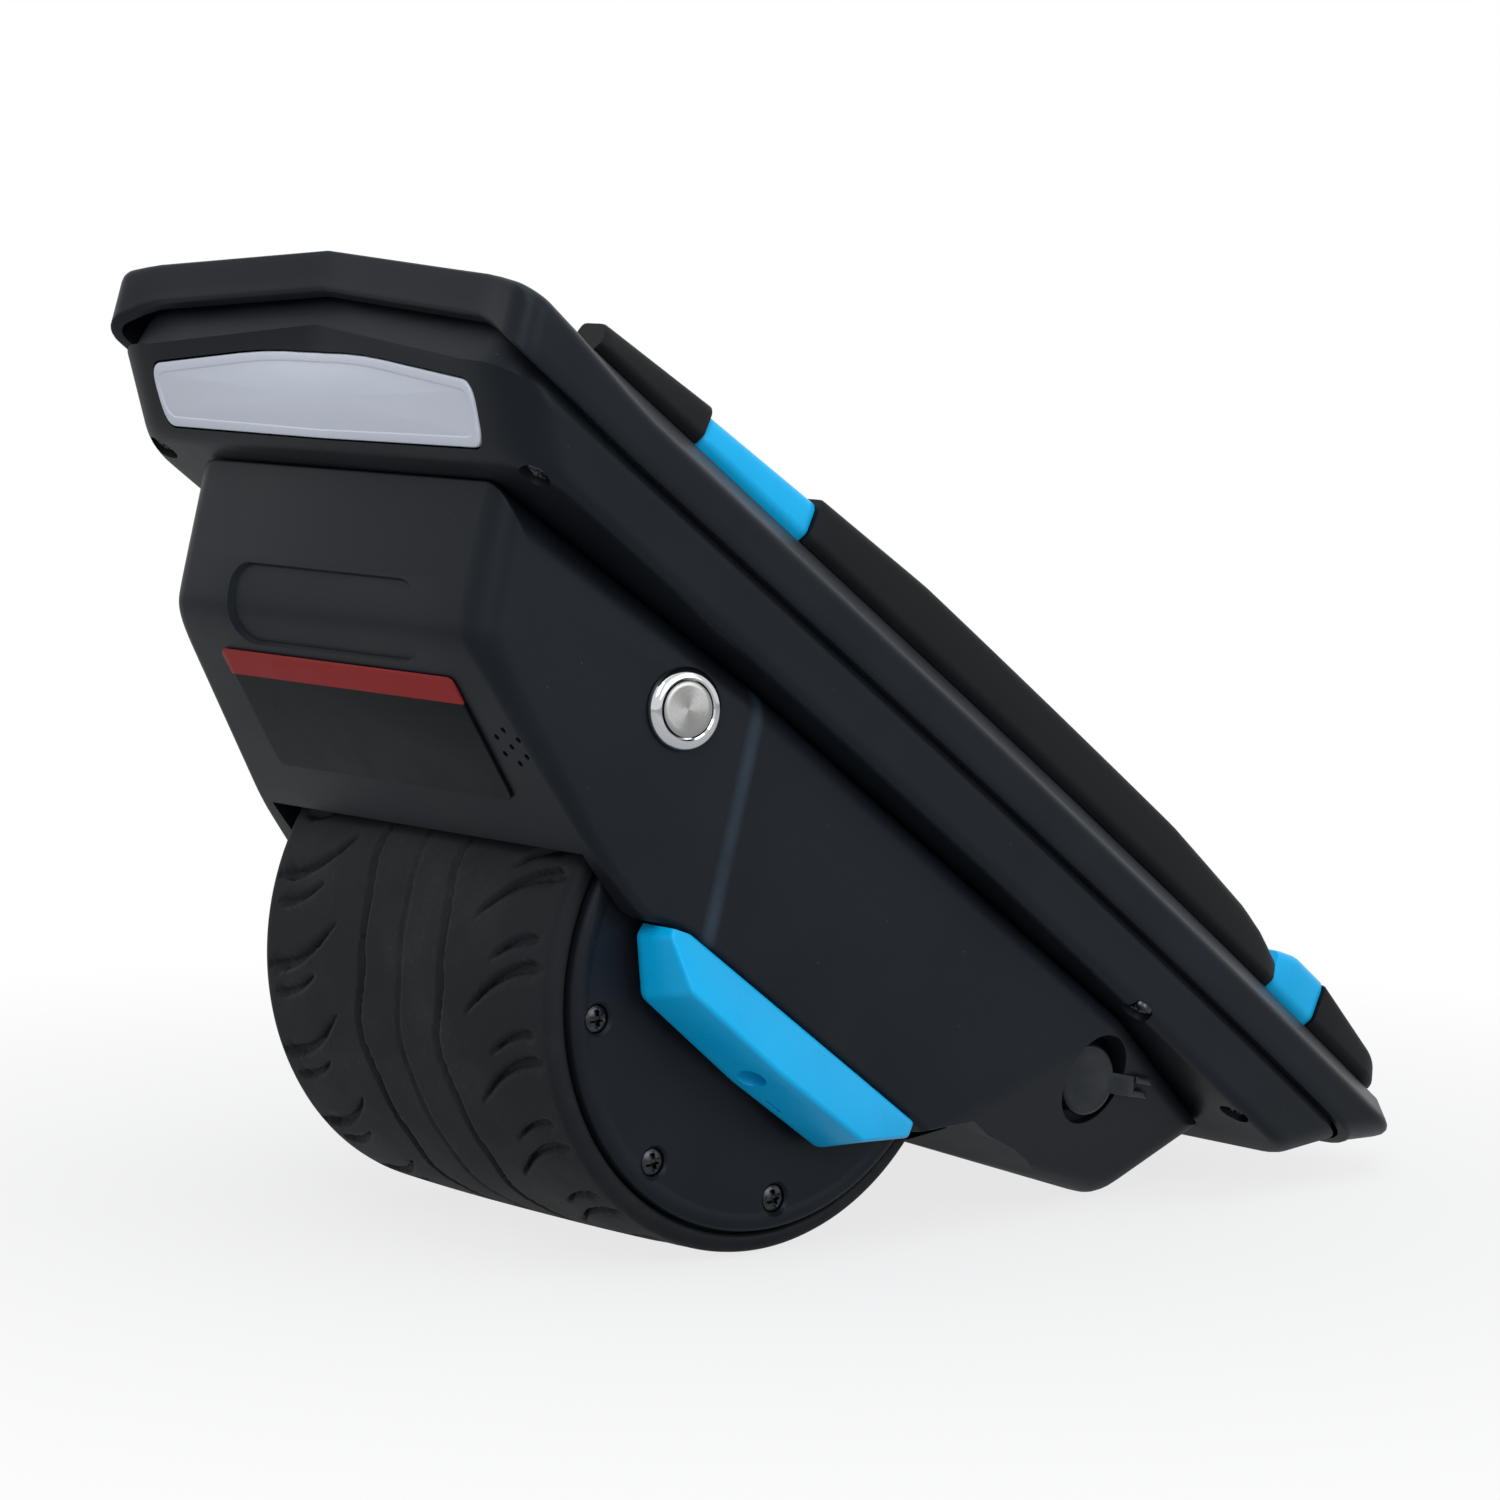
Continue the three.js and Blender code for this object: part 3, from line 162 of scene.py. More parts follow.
def rounded(corners, radius, steps=4):
    """Closed polygons with each corner P swapped for the curve (1-t)^2 A + 2t(1-t) P + t^2 B,
    where A and B lie radius away from P along its two edges, and at most 0.45 of an edge."""
    corners = np.asarray(corners, float)
    back = np.roll(corners, 1, axis=-2) - corners
    ahead = np.roll(corners, -1, axis=-2) - corners
    back_length = np.linalg.norm(back, axis=-1, keepdims=True)
    ahead_length = np.linalg.norm(ahead, axis=-1, keepdims=True)
    reach = np.broadcast_to(np.asarray(radius, float), corners.shape[:-1])[..., None]
    start = corners + back / back_length * np.minimum(reach, 0.45 * back_length)
    end = corners + ahead / ahead_length * np.minimum(reach, 0.45 * ahead_length)
    t = np.linspace(0, 1, steps + 1)[:, None]
    middle = corners[..., :, None, :]
    curve = (1 - t) ** 2 * start[..., :, None, :] + 2 * t * (1 - t) * middle + t**2 * end[..., :, None, :]
    return curve.reshape(*corners.shape[:-2], -1, corners.shape[-1])


def grid_faces(rows, columns, wrap_rows=False):
    """Quads (i,j) (i,j+1) (i+1,j+1) (i+1,j) of closed rows of points, numbered row by row."""
    i = np.arange(rows if wrap_rows else rows - 1)[:, None]
    j = np.arange(columns)[None, :]
    after_i, after_j = (i + 1) % rows, (j + 1) % columns
    quads = [i * columns + j, i * columns + after_j, after_i * columns + after_j, after_i * columns + j]
    return np.stack(np.broadcast_arrays(*quads), axis=-1).reshape(-1, 4)


def loft(rings, closed=False):
    """A skin over equal rings of points, its two ends closed flat, or joined to each other."""
    rings = np.asarray(rings, float)
    count, around = rings.shape[:2]
    faces = grid_faces(count, around, wrap_rows=closed).tolist()
    if not closed:
        faces.append(list(range(around))[::-1])
        faces.append(list(range((count - 1) * around, count * around)))
    return rings.reshape(-1, 3), faces


def turned(profile, sides=48, centre=(0.0, 0.0), closed=False):
    """Revolution about Y: (r, h) -> (cx + r cos a, h, cz + r sin a). A profile may end on the axis."""
    profile = np.asarray(profile, float)
    angle = np.arange(sides) / sides * 2 * np.pi
    r, h = profile[:, 0, None], profile[:, 1, None]
    ring = (centre[0] + r * np.cos(angle), h + 0 * angle, centre[1] + r * np.sin(angle))
    return loft(np.stack(ring, axis=-1), closed)


def rod(radius, start, end, sides=32, end_radius=None):
    """A cylinder or cone between two points: centre + r (u cos a + v sin a)."""
    start, end = np.asarray(start, float), np.asarray(end, float)
    along = (end - start) / np.linalg.norm(end - start)
    side = np.cross(along, [0.0, 0.0, 1.0] if abs(along[2]) < 0.9 else [1.0, 0.0, 0.0])
    side /= np.linalg.norm(side)
    other = np.cross(along, side)
    angle = np.arange(sides)[:, None] / sides * 2 * np.pi
    circle = side * np.cos(angle) + other * np.sin(angle)
    return loft(np.stack([start + radius * circle, end + (end_radius or radius) * circle]))


def box(low, high):
    """A block between two corners."""
    (x0, y0, z0), (x1, y1, z1) = low, high
    ring = np.array([(x0, z0), (x1, z0), (x1, z1), (x0, z1)])
    return loft([np.insert(ring, 1, y, axis=1) for y in (y0, y1)])


def slab(profile, low, high):
    """A side profile of (x, z) carried from y = low to y = high."""
    profile = np.asarray(profile, float)
    return loft([np.insert(profile, 1, y, axis=1) for y in (low, high)])


def on_side(shape, side):
    """The shape as drawn for the left (1), or its mirror image for the right (-1)."""
    points, faces = shape
    return points * (1, side, 1), faces


def well():
    """The round room for the wheel."""
    return rod(WELL_RADIUS, (0, -WELL_HALF, 0), (0, WELL_HALF, 0), WELL_SIDES)


# ---- Mesh helpers ----
def mesh_of(shapes, edit=None):
    """One bmesh in level millimetres, its poles and seams merged and its faces turned outwards."""
    shapes = [shapes] if isinstance(shapes, tuple) else shapes
    bm = bmesh.new()
    whole = bpy.data.meshes.new("whole")
    offsets = np.cumsum([0] + [len(points) for points, _ in shapes])
    points = np.concatenate([points for points, _ in shapes])
    faces = [[v + shift for v in face] for (_, found), shift in zip(shapes, offsets) for face in found]
    whole.from_pydata(points, [], faces)
    bm.from_mesh(whole)
    bpy.data.meshes.remove(whole)
    bmesh.ops.remove_doubles(bm, verts=bm.verts, dist=MERGE)
    if edit:
        edit(bm)
    bmesh.ops.recalc_face_normals(bm, faces=bm.faces)
    return bm


def made(name, shapes, material=None, sharp=SHARP, edit=None):
    """A new object at the origin, with its place in its mesh."""
    bm = mesh_of(shapes, edit)
    mesh = bpy.data.meshes.new(name)
    bm.to_mesh(mesh)
    bm.free()
    points = np.empty(len(mesh.vertices) * 3)
    mesh.vertices.foreach_get("co", points)
    mesh.vertices.foreach_set("co", placed(points.reshape(-1, 3)).ravel())
    piece = bpy.data.objects.new(name, mesh)
    bpy.context.scene.collection.objects.link(piece)
    if material:
        mesh.materials.append(material)
    smoothed(piece, sharp)
    return piece


def smoothed(piece, sharp=SHARP):
    piece.data.shade_smooth()
    piece.data.set_sharp_from_angle(angle=math.radians(sharp))


def baked(piece):
    """Applies the piece's modifiers."""
    bpy.context.view_layer.update()
    seen = piece.evaluated_get(bpy.context.evaluated_depsgraph_get())
    old, piece.data = piece.data, bpy.data.meshes.new_from_object(seen)
    piece.modifiers.clear()
    bpy.data.meshes.remove(old)
    piece.data.name = piece.name


def softened(piece, width, segments, angle):
    """Rounds the edges that turn by more than an angle. Width is in millimetres."""
    bevel = piece.modifiers.new("rounding", "BEVEL")
    bevel.width = width * MM
    bevel.segments = segments
    bevel.limit_method = "ANGLE"
    bevel.angle_limit = math.radians(angle)
    baked(piece)
    smoothed(piece)


def cut(piece, shapes, sharp=SHARP):
    """Subtracts shapes from a piece."""
    for i, shape in enumerate(shapes):
        tool = made(f"{piece.name}_cutter_{i}", shape)
        boolean = piece.modifiers.new(f"cut {i}", "BOOLEAN")
        boolean.operation = "DIFFERENCE"
        boolean.solver = "EXACT"
        boolean.object = tool
        baked(piece)
        bpy.data.objects.remove(tool)
    smoothed(piece, sharp)
    if not piece.data.polygons:
        raise RuntimeError(f"{piece.name} was cut away")


def settle(piece, body, slot, *nodes):
    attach(piece, body)
    if nodes:
        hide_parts(*nodes)
    return piece


# ---- Deck surfaces ----
def half_width(x):
    """77 - 5.5 (max(0, 30 - x) / 177)^2."""
    return HALF_WIDTH - 5.5 * (np.maximum(0, 30 - np.asarray(x, float)) / 177) ** 2


def crown(x, y, lift):
    """Rise of the nose: smoothstep(x from 110 to 155) max(0, rise - slope |y| - corner max(0, |y| - 62))."""
    rise, slope, corner = lift
    t = np.clip((x - 110) / 45, 0, 1)
    across = np.abs(y)
    height = rise - slope * across - corner * np.maximum(0, across - 62)
    return t * t * (3 - 2 * t) * np.maximum(0, height)


def outline(nose, tail, inset, corner, tail_corner, arc=9, side=36, end=14):
    """A level of the deck as (x, y): straight ends, quarter-circle corners and the bowed sides."""
    corner, tail_corner = max(corner, 0.6), max(tail_corner, 0.6)
    angle = np.linspace(0, np.pi / 2, arc)
    nose_x, tail_x = nose - corner, tail + tail_corner
    nose_y = half_width(nose_x) - inset - corner
    tail_y = half_width(tail_x) - inset - tail_corner
    front = np.stack([np.full(end, nose), nose_y * np.arange(end) / end], axis=-1)
    first = np.stack([nose_x + corner * np.cos(angle), nose_y + corner * np.sin(angle)], axis=-1)
    x = np.linspace(nose_x, tail_x, side + 1)[1:-1]
    flank = np.stack([x, half_width(x) - inset], axis=-1)
    turn = angle + np.pi / 2
    last = np.stack([tail_x + tail_corner * np.cos(turn), tail_y + tail_corner * np.sin(turn)], axis=-1)
    back = np.stack([np.full(end, tail), tail_y * np.arange(end - 1, -1, -1) / end], axis=-1)
    left = np.concatenate([front, first, flank, last, back])
    return np.concatenate([left, left[-2:0:-1] * (1, -1)])


def level(height, lift, shape):
    """The outline at a height, its nose lifted by crown()."""
    xy = outline(*shape)
    return np.column_stack([xy, height + crown(xy[:, 0], xy[:, 1], lift)])


def inside(shape, by):
    nose, tail, inset, corner, tail_corner = shape
    return nose - by, tail + by, inset + by, corner - by, tail_corner - by


def mixed(low, high, share):
    return tuple(a + (b - a) * share for a, b in zip(low, high))


def tray_shape(height):
    """The tray's outline at a height: its nose and tail slope outwards between z 47 and z 60."""
    share = (height - TRAY_BOTTOM) / (TRAY_TOP - TRAY_BOTTOM)
    nose, tail = (foot + reach * share for foot, reach in (TRAY_NOSE, TRAY_TAIL))
    return nose, tail, 2.0, 13.0, 12.0


RIM_SHAPE = (NOSE, TAIL, 0.0, 7.0, 17.0)
RIM_LOW = (NOSE - 3.5, TAIL + 11.5, 0.0, 7.0, 17.0)
RIM_TOP = (NOSE - 13.2, TAIL + 1.5, 13.2, 0.6, 3.8)


def nose_face(y, z, offset):
    """A point of the tray's sloping nose, moved out from it by an offset."""
    foot, reach = TRAY_NOSE
    top = TRAY_TOP + crown(foot + reach, y, TRAY_CROWN)
    x = foot + reach * (z - TRAY_BOTTOM) / (top - TRAY_BOTTOM)
    outward = np.array([0.75, 0, -0.66]) / math.hypot(0.75, 0.66)
    return np.stack(np.broadcast_arrays(x, y, z), axis=-1) + outward * np.asarray(offset)[..., None]


def lens_outline(grow):
    """The lens's outline in (y, z): a low peak on the middle, straight sides and rounded corners."""
    foot, low, high, top = 48.4 - grow, 58.2 + grow, 59.3 + grow, 63.7 + grow
    side = top - 0.111 * high
    corners = [(0, foot), (low, foot), (high, side), (0, top), (-high, side), (-low, foot)]
    return rounded(corners, (1, 3.2, 3.6, 30, 3.6, 3.2), 7)


# ---- Housing surfaces ----
def soft_positive(t):
    """(t + sqrt(t^2 + s^2)) / 2, a rounded max(0, t)."""
    return (t + np.sqrt(t * t + CREASE_SOFTNESS**2)) / 2


def side_of_housing(x, z):
    """Half-width: 67 - 0.1235 [x - crease]+ - 0.313 [crease - x]+, each crease leaning with height."""
    ahead = soft_positive(x - FRONT_CREASE[0] - FRONT_CREASE[1] * z)
    behind = soft_positive(REAR_CREASE[0] + REAR_CREASE[1] * z - x)
    return CHEEK - FRONT_TAPER * ahead - REAR_TAPER * behind


def front_underside(x):
    return -5 + 0.4 * (x - 63)


def rear_underside(x):
    return -4.2 + (15.5 + 4.2) / (-124 + 63.5) * (x + 63.5)


def housing_block():
    """The side profile carried across: each corner moves in by R(1 - cos t) as y drops by R(1 - sin t)."""
    corners, fillet, edge = SIDE_PROFILE[:, :2], SIDE_PROFILE[:, 2], SIDE_PROFILE[:, 3]
    ahead = np.roll(corners, -1, axis=0) - corners
    normal = np.stack([ahead[:, 1], -ahead[:, 0]], axis=-1)
    normal /= np.linalg.norm(normal, axis=-1, keepdims=True)
    if np.sum(corners[:, 0] * np.roll(corners[:, 1], -1) - np.roll(corners[:, 0], -1) * corners[:, 1]) < 0:
        normal = -normal
    before = np.roll(normal, 1, axis=0)
    miter = (normal + before) / (1 + np.sum(normal * before, axis=-1, keepdims=True))
    turn = np.linspace(0, np.pi / 2, 7)[:, None]
    move = edge * (1 - np.cos(turn))
    drop = edge * (1 - np.sin(turn))
    moved = corners - miter * move[..., None]
    rings = rounded(np.concatenate([moved, drop[..., None]], axis=-1), fillet, 5)
    x, z, y = rings[..., 0], rings[..., 1], 100 - rings[..., 2]
    left = np.stack([x, y, z], axis=-1)
    return loft(np.concatenate([left[::-1], left * (1, -1, 1)]))


def creased(bm):
    """Splits the block along its leaning creases, then sets |y| = side_of_housing(x, z) - (100 - |y|)."""
    for (at, lean), side in ((FRONT_CREASE, 1), (REAR_CREASE, -1)):
        for shift in (-8, -4, -2, -0.8, 0.8, 2, 4, 8):
            geometry = bm.verts[:] + bm.edges[:] + bm.faces[:]
            plane = (at + shift, 0, 0)
            bmesh.ops.bisect_plane(bm, geom=geometry, dist=1e-4, plane_co=plane, plane_no=(1, 0, -lean))
    points = np.array([v.co for v in bm.verts])
    y = np.sign(points[:, 1]) * (side_of_housing(points[:, 0], points[:, 2]) - 100 + abs(points[:, 1]))
    for vert, across in zip(bm.verts, y):
        vert.co.y = across


def recess_cutter():
    """A shallow band following the front: rows of points under and over the skin, whose ends draw in by
    corner (1 - sin t) as y stops short of its edge by corner (1 - cos t), with sides that flare outwards."""
    half, corner, depth, top, end, flare = RECESS.values()
    bends = SIDE_PROFILE[1:4, :2]
    start = (bends[0, 0] + (top - bends[0, 1]) * FRONT_SLOPE, top)
    path = np.vstack([start, bends, (end, front_underside(end))])
    path = np.vstack([path[:1], rounded(path, 3.0, 4)[5:-5], path[-1:]])
    step = np.linalg.norm(np.diff(path, axis=0), axis=1)
    run = np.concatenate([[0], np.cumsum(step)])
    turn = np.linspace(0, np.pi / 2, 6)
    across = np.concatenate([half - corner * (1 - np.cos(turn)), -half + corner * (1 - np.cos(turn[::-1]))])
    draw = corner * (1 - np.sin(np.concatenate([turn, turn[::-1]])))
    share = np.linspace(0, 1, 30)
    s = draw[:, None] + share * (run[-1] - 2 * draw[:, None])
    x, z = np.interp(s, run, path[:, 0]), np.interp(s, run, path[:, 1])
    tangent = np.stack([np.gradient(x, axis=1), np.gradient(z, axis=1)], axis=-1)
    tangent /= np.linalg.norm(tangent, axis=-1, keepdims=True)
    normal = np.stack([-tangent[..., 1], tangent[..., 0]], axis=-1)
    skin = np.stack([x, z], axis=-1)
    middle = run[-1] / 2
    s_low = middle + (s - middle) * (1 - flare / middle)
    floor = np.stack([np.interp(s_low, run, path[:, i]) for i in (0, 1)], axis=-1) - depth * normal
    y_low = np.broadcast_to(across[:, None] * (1 - flare / half), s.shape)
    y_high = np.broadcast_to(across[:, None] * (1 + 2 * flare / half), s.shape)
    high = skin + 2 * depth * normal
    xz = np.concatenate([floor, high[:, ::-1]], axis=1)
    y = np.concatenate([y_low, y_high], axis=1)
    return loft(np.stack([xz[..., 0], y, xz[..., 1]], axis=-1))


def underside_cutter(x, section, rise=0.0):
    """A section carried along the battery box: (y, drop, share) lies at underside - drop + share rise."""
    x, rise = np.asarray(x, float), np.asarray(rise)
    rings = []
    for y, drop, share in section:
        rings.append(np.stack([x, y + 0 * x, rear_underside(x) - drop + share * rise], axis=-1))
    return loft(np.stack(rings, axis=1))


def bevel_cutter():
    """The long bevel under the battery box's left side. It runs out at the tail corner."""
    section = ((46, 20, 0), (46, 0, 0), (60, 0, 1), (87, 0, 2), (87, 20, 0))
    return underside_cutter((-47, -62, -124, -143), section, (0, 6.8, 0.5, 0.5))


def skid_cutter():
    """The shallow recess that leaves a skid along each side of the battery box's underside."""
    deep = 4.6
    section = ((-43, deep, 0), (43, deep, 0), (43, 0, 0), (40, -deep, 0), (-40, -deep, 0), (-43, 0, 0))
    return underside_cutter((-143, -61.5), section)


def front_side_frame():
    """Where the power switch stands: a point on the front side and the matrix that turns Y outwards."""
    x, z = SWITCH_REACH * math.cos(SWITCH_RISE), SWITCH_REACH * math.sin(SWITCH_RISE)
    place = np.array([x, CHEEK - FRONT_TAPER * (x - FRONT_CREASE[0] - FRONT_CREASE[1] * z), z])
    outward = Vector((FRONT_TAPER, 1, -FRONT_TAPER * FRONT_CREASE[1])).normalized()
    turn = Vector((0, 1, 0)).rotation_difference(outward).to_matrix()
    return place, np.array(turn), np.array(outward)


def on_front_side(shape):
    place, turn, _ = front_side_frame()
    points, faces = shape
    return points @ turn.T + place, faces


# ---- Materials ----
class NodeWork:
    """Adds nodes to a material's or world's tree. An input takes a socket, a number or a colour."""

    def __init__(self, owner, shader="Principled BSDF"):
        owner.use_nodes = True
        self.owner = owner
        self.nodes, self.links = owner.node_tree.nodes, owner.node_tree.links
        self.shader = self.nodes[shader].inputs

    @cached_property
    def coords(self):
        return self.add("TexCoord", {}).outputs["Object"]

    def put(self, sockets, values):
        for key, value in values.items():
            if isinstance(value, bpy.types.NodeSocket):
                self.links.new(value, sockets[key])
            else:
                sockets[key].default_value = (*value, 1) if sockets[key].type == "RGBA" else value

    def add(self, kind, values, **settings):
        node = self.nodes.new("ShaderNode" + kind)
        for key, setting in settings.items():
            setattr(node, key, setting)
        self.put(node.inputs, values)
        return node

    def noise(self, size, detail=4.0, roughness=0.55):
        """Noise whose features are about size millimetres across."""
        values = {"Vector": self.coords, "Scale": 1 / (size * MM), "Detail": detail, "Roughness": roughness}
        return self.add("TexNoise", values).outputs["Fac"]

    def ranged(self, value, low, high, to_low, to_high):
        return self.add("MapRange", dict(enumerate((value, low, high, to_low, to_high)))).outputs[0]

    def blended(self, share, first, second):
        return self.add("Mix", {0: share, 6: first, 7: second}, data_type="RGBA").outputs[2]

    def worked(self, operation, *values):
        return self.add("Math", dict(enumerate(values)), operation=operation).outputs[0]

    def vector(self, operation, output, *values):
        return self.add("VectorMath", dict(enumerate(values)), operation=operation).outputs[output]

    def bumped(self, height, depth, strength=1.0):
        """A bump whose height 1 stands for depth millimetres."""
        values = {"Height": height, "Distance": depth * MM, "Strength": strength}
        return self.add("Bump", values).outputs["Normal"]

    def along(self, direction):
        """Distance in millimetres of a point from the axle along a direction."""
        reach = self.vector("DOT_PRODUCT", "Value", self.coords, tuple(direction))
        return self.worked("DIVIDE", self.worked("SUBTRACT", reach, float(direction @ AXLE_AT)), MM)

    def tint(self, share, colour):
        """Lays a colour over the base colour by a share."""
        base = self.shader["Base Color"].links[0].from_socket
        self.put(self.shader, {"Base Color": self.blended(share, base, colour)})

    def seen_directly(self):
        """1 for camera, glossy and transmission rays."""
        rays = self.add("LightPath", {}).outputs
        either = self.worked("MAXIMUM", rays["Is Camera Ray"], rays["Is Glossy Ray"])
        return self.worked("MAXIMUM", either, rays["Is Transmission Ray"])


def shared(build):
    """Makes a material once, and then hands the same one out."""
    kept = []

    def fetch(*settings):
        if not kept:
            kept.append(build(*settings).owner)
        return kept[0]

    return fetch


COOL_SHEEN = (0.78, 0.89, 1.0)


def finish(name, colour, second, rough, spread, grain, depth, patch, metallic=0.0, specular=0.5, coat=0.0):
    """A moulded or machined surface: patches of two close colours, roughness that drifts with them,
    and a fine grain. Grain, depth and patch are in millimetres."""
    work = NodeWork(bpy.data.materials.new(name))
    patches, fine = work.noise(patch, 3), work.noise(grain, 2)
    drift = work.ranged(patches, 0.3, 0.7, rough - spread, rough + spread)
    speck = work.ranged(fine, 0.3, 0.7, -spread / 2, spread / 2)
    work.put(
        work.shader,
        {
            "Base Color": work.blended(work.ranged(patches, 0.35, 0.65, 0, 1), colour, second),
            "Roughness": work.worked("ADD", drift, speck),
            "Normal": work.bumped(fine, depth),
            "Metallic": metallic,
            "Specular IOR Level": specular,
            "Specular Tint": (1, 1, 1) if metallic else COOL_SHEEN,
            "Coat Weight": coat,
            "Coat Roughness": 0.12,
        },
    )
    return work


def scaled(colour, share):
    return tuple(share * c for c in colour)


def satin_black(name, colours):
    """Satin black plastic with a fine grain, faint rubbed patches and a few pale dust specks."""
    dark = colours.shell
    work = finish(name, dark, scaled(dark, 1.25), 0.42, 0.04, 0.35, 0.01, 26.0, specular=0.16)
    work.tint(work.ranged(work.noise(1.1, 1), 0.79, 0.83, 0, 0.25), (0.16, 0.16, 0.17))
    return work


@shared
def shell_plastic(colours):
    return satin_black("shell plastic", colours)


@shared
def housing_plastic(colours):
    """The shell's plastic, with a painted highlight: a paler bluish stripe along the two front creases, where the
    rounded crease would catch the light.
    """
    work = satin_black("housing plastic", colours)
    at, slope = FRONT_CREASE
    upright = work.worked("SUBTRACT", work.along(FORWARD), work.worked("MULTIPLY", work.along(UP), slope))
    off = work.worked("ABSOLUTE", work.worked("SUBTRACT", upright, at))
    crease_highlight = work.ranged(off, 0.6, 2.6, 0.75, 0.0)
    uneven = work.ranged(work.noise(9, 3), 0.3, 0.7, 0.55, 1.0)
    # Painted highlight: a paler blue laid over the base colour along the crease, standing in for light caught
    # there, made uneven by noise.
    work.tint(work.worked("MULTIPLY", crease_highlight, uneven), (0.035, 0.052, 0.07))
    return work


@shared
def tread_rubber(colours):
    """Dark rubber, greyer where it has rolled through dust, with a matt skin and fine pits."""
    dark = colours.rubber
    work = finish("tread rubber", dark, scaled(dark, 1.5), 0.6, 0.07, 0.5, 0.03, 22.0, specular=0.16)
    cloud = work.ranged(work.noise(24, 5, 0.6), 0.48, 0.72, 0, 0.4)
    grit = work.ranged(work.noise(1.4, 2), 0.55, 0.75, 0.4, 1)
    work.tint(work.worked("MULTIPLY", cloud, grit), (0.075, 0.071, 0.063))
    return work


@shared
def black_rubber(colours):
    dark = scaled(colours.rubber, 0.55)
    return finish("rail rubber", dark, scaled(dark, 1.4), 0.5, 0.07, 0.45, 0.03, 16.0, specular=0.14)


@shared
def blue_plastic(colours):
    red, green, blue = colours.accent
    lighter = (red * 1.5 + 0.004, green * 1.05, min(1.0, blue * 1.03))
    return finish("blue plastic", colours.accent, lighter, 0.3, 0.03, 0.4, 0.005, 18.0, specular=0.25)


@shared
def label_finish(colours):
    """A black plate with a coloured band across its front fifth, faintly scuffed."""
    dark, worn = (0.005, 0.005, 0.006), (0.009, 0.009, 0.01)
    work = finish("label black", dark, worn, 0.42, 0.06, 0.6, 0.008, 9.0, specular=0.12)
    work.tint(work.ranged(work.along(FORWARD), 98.5, 98.7, 0, 1), colours.band)
    return work


@shared
def lens_finish(colours):
    """A milky diffuser that scatters light a few millimetres deep."""
    lens = colours.lens
    work = finish("milky lens", lens, scaled(lens, 1.03), 0.3, 0.015, 0.9, 0.003, 30.0, specular=0.3)
    work.put(work.shader, {"Subsurface Weight": 0.25, "Subsurface Radius": (0.004, 0.004, 0.004)})
    return work


@shared
def brushed_cap():
    """Metal turned on a lathe: fine rings about the cap's own axis."""
    work = NodeWork(bpy.data.materials.new("brushed cap"))
    place, _, outward = front_side_frame()
    offset = work.vector("SUBTRACT", "Vector", work.coords, tuple(placed(place)))
    cross = work.vector("CROSS_PRODUCT", "Vector", offset, tuple(outward @ LEVEL))
    radius = work.vector("LENGTH", "Value", cross)
    values = {"W": work.worked("MULTIPLY", radius, 9000.0), "Scale": 1.0, "Detail": 2.0}
    rings = work.add("TexNoise", values, noise_dimensions="1D").outputs["Fac"]
    tangent = work.add("Tangent", {}, direction_type="UV_MAP", uv_map="spun")
    metal = {"Base Color": (0.36, 0.36, 0.35), "Metallic": 1.0, "Anisotropic": 0.85}
    work.put(work.shader, {**metal, "Tangent": tangent.outputs[0], "Normal": work.bumped(rings, 0.004, 0.5)})
    work.put(work.shader, {"Roughness": work.ranged(rings, 0.3, 0.7, 0.22, 0.36)})
    return work


@shared
def screw_steel():
    return finish("screw steel", (0.035, 0.036, 0.04), (0.07, 0.07, 0.075), 0.26, 0.08, 0.4, 0.01, 2.0, 1.0)


@shared
def copper():
    """Enamelled wire in tight turns round the coil."""
    work = finish("copper wire", (0.5, 0.19, 0.07), (0.62, 0.27, 0.1), 0.34, 0.06, 0.7, 0.02, 4.0, 1.0)
    values = {"Vector": work.coords, "Scale": 320.0, "Distortion": 1.5}
    wave = work.add("TexWave", values, bands_direction="Y")
    work.put(work.shader, {"Normal": work.bumped(wave.outputs["Fac"], 0.2, 0.8)})
    return work


@shared
def board():
    """Green board in two shades, with copper tracks under the lacquer."""
    work = finish("circuit board", (0.01, 0.09, 0.035), (0.015, 0.13, 0.05), 0.42, 0.05, 0.5, 0.02, 3.0)
    values = {"Vector": work.coords, "Scale": 120.0, "Mortar Size": 0.03, "Mortar": (0.3, 0.2, 0.06)}
    values.update({"Color1": (0.012, 0.1, 0.04), "Color2": (0.008, 0.06, 0.028)})
    work.put(work.shader, {"Base Color": work.add("TexBrick", values).outputs["Color"]})
    return work


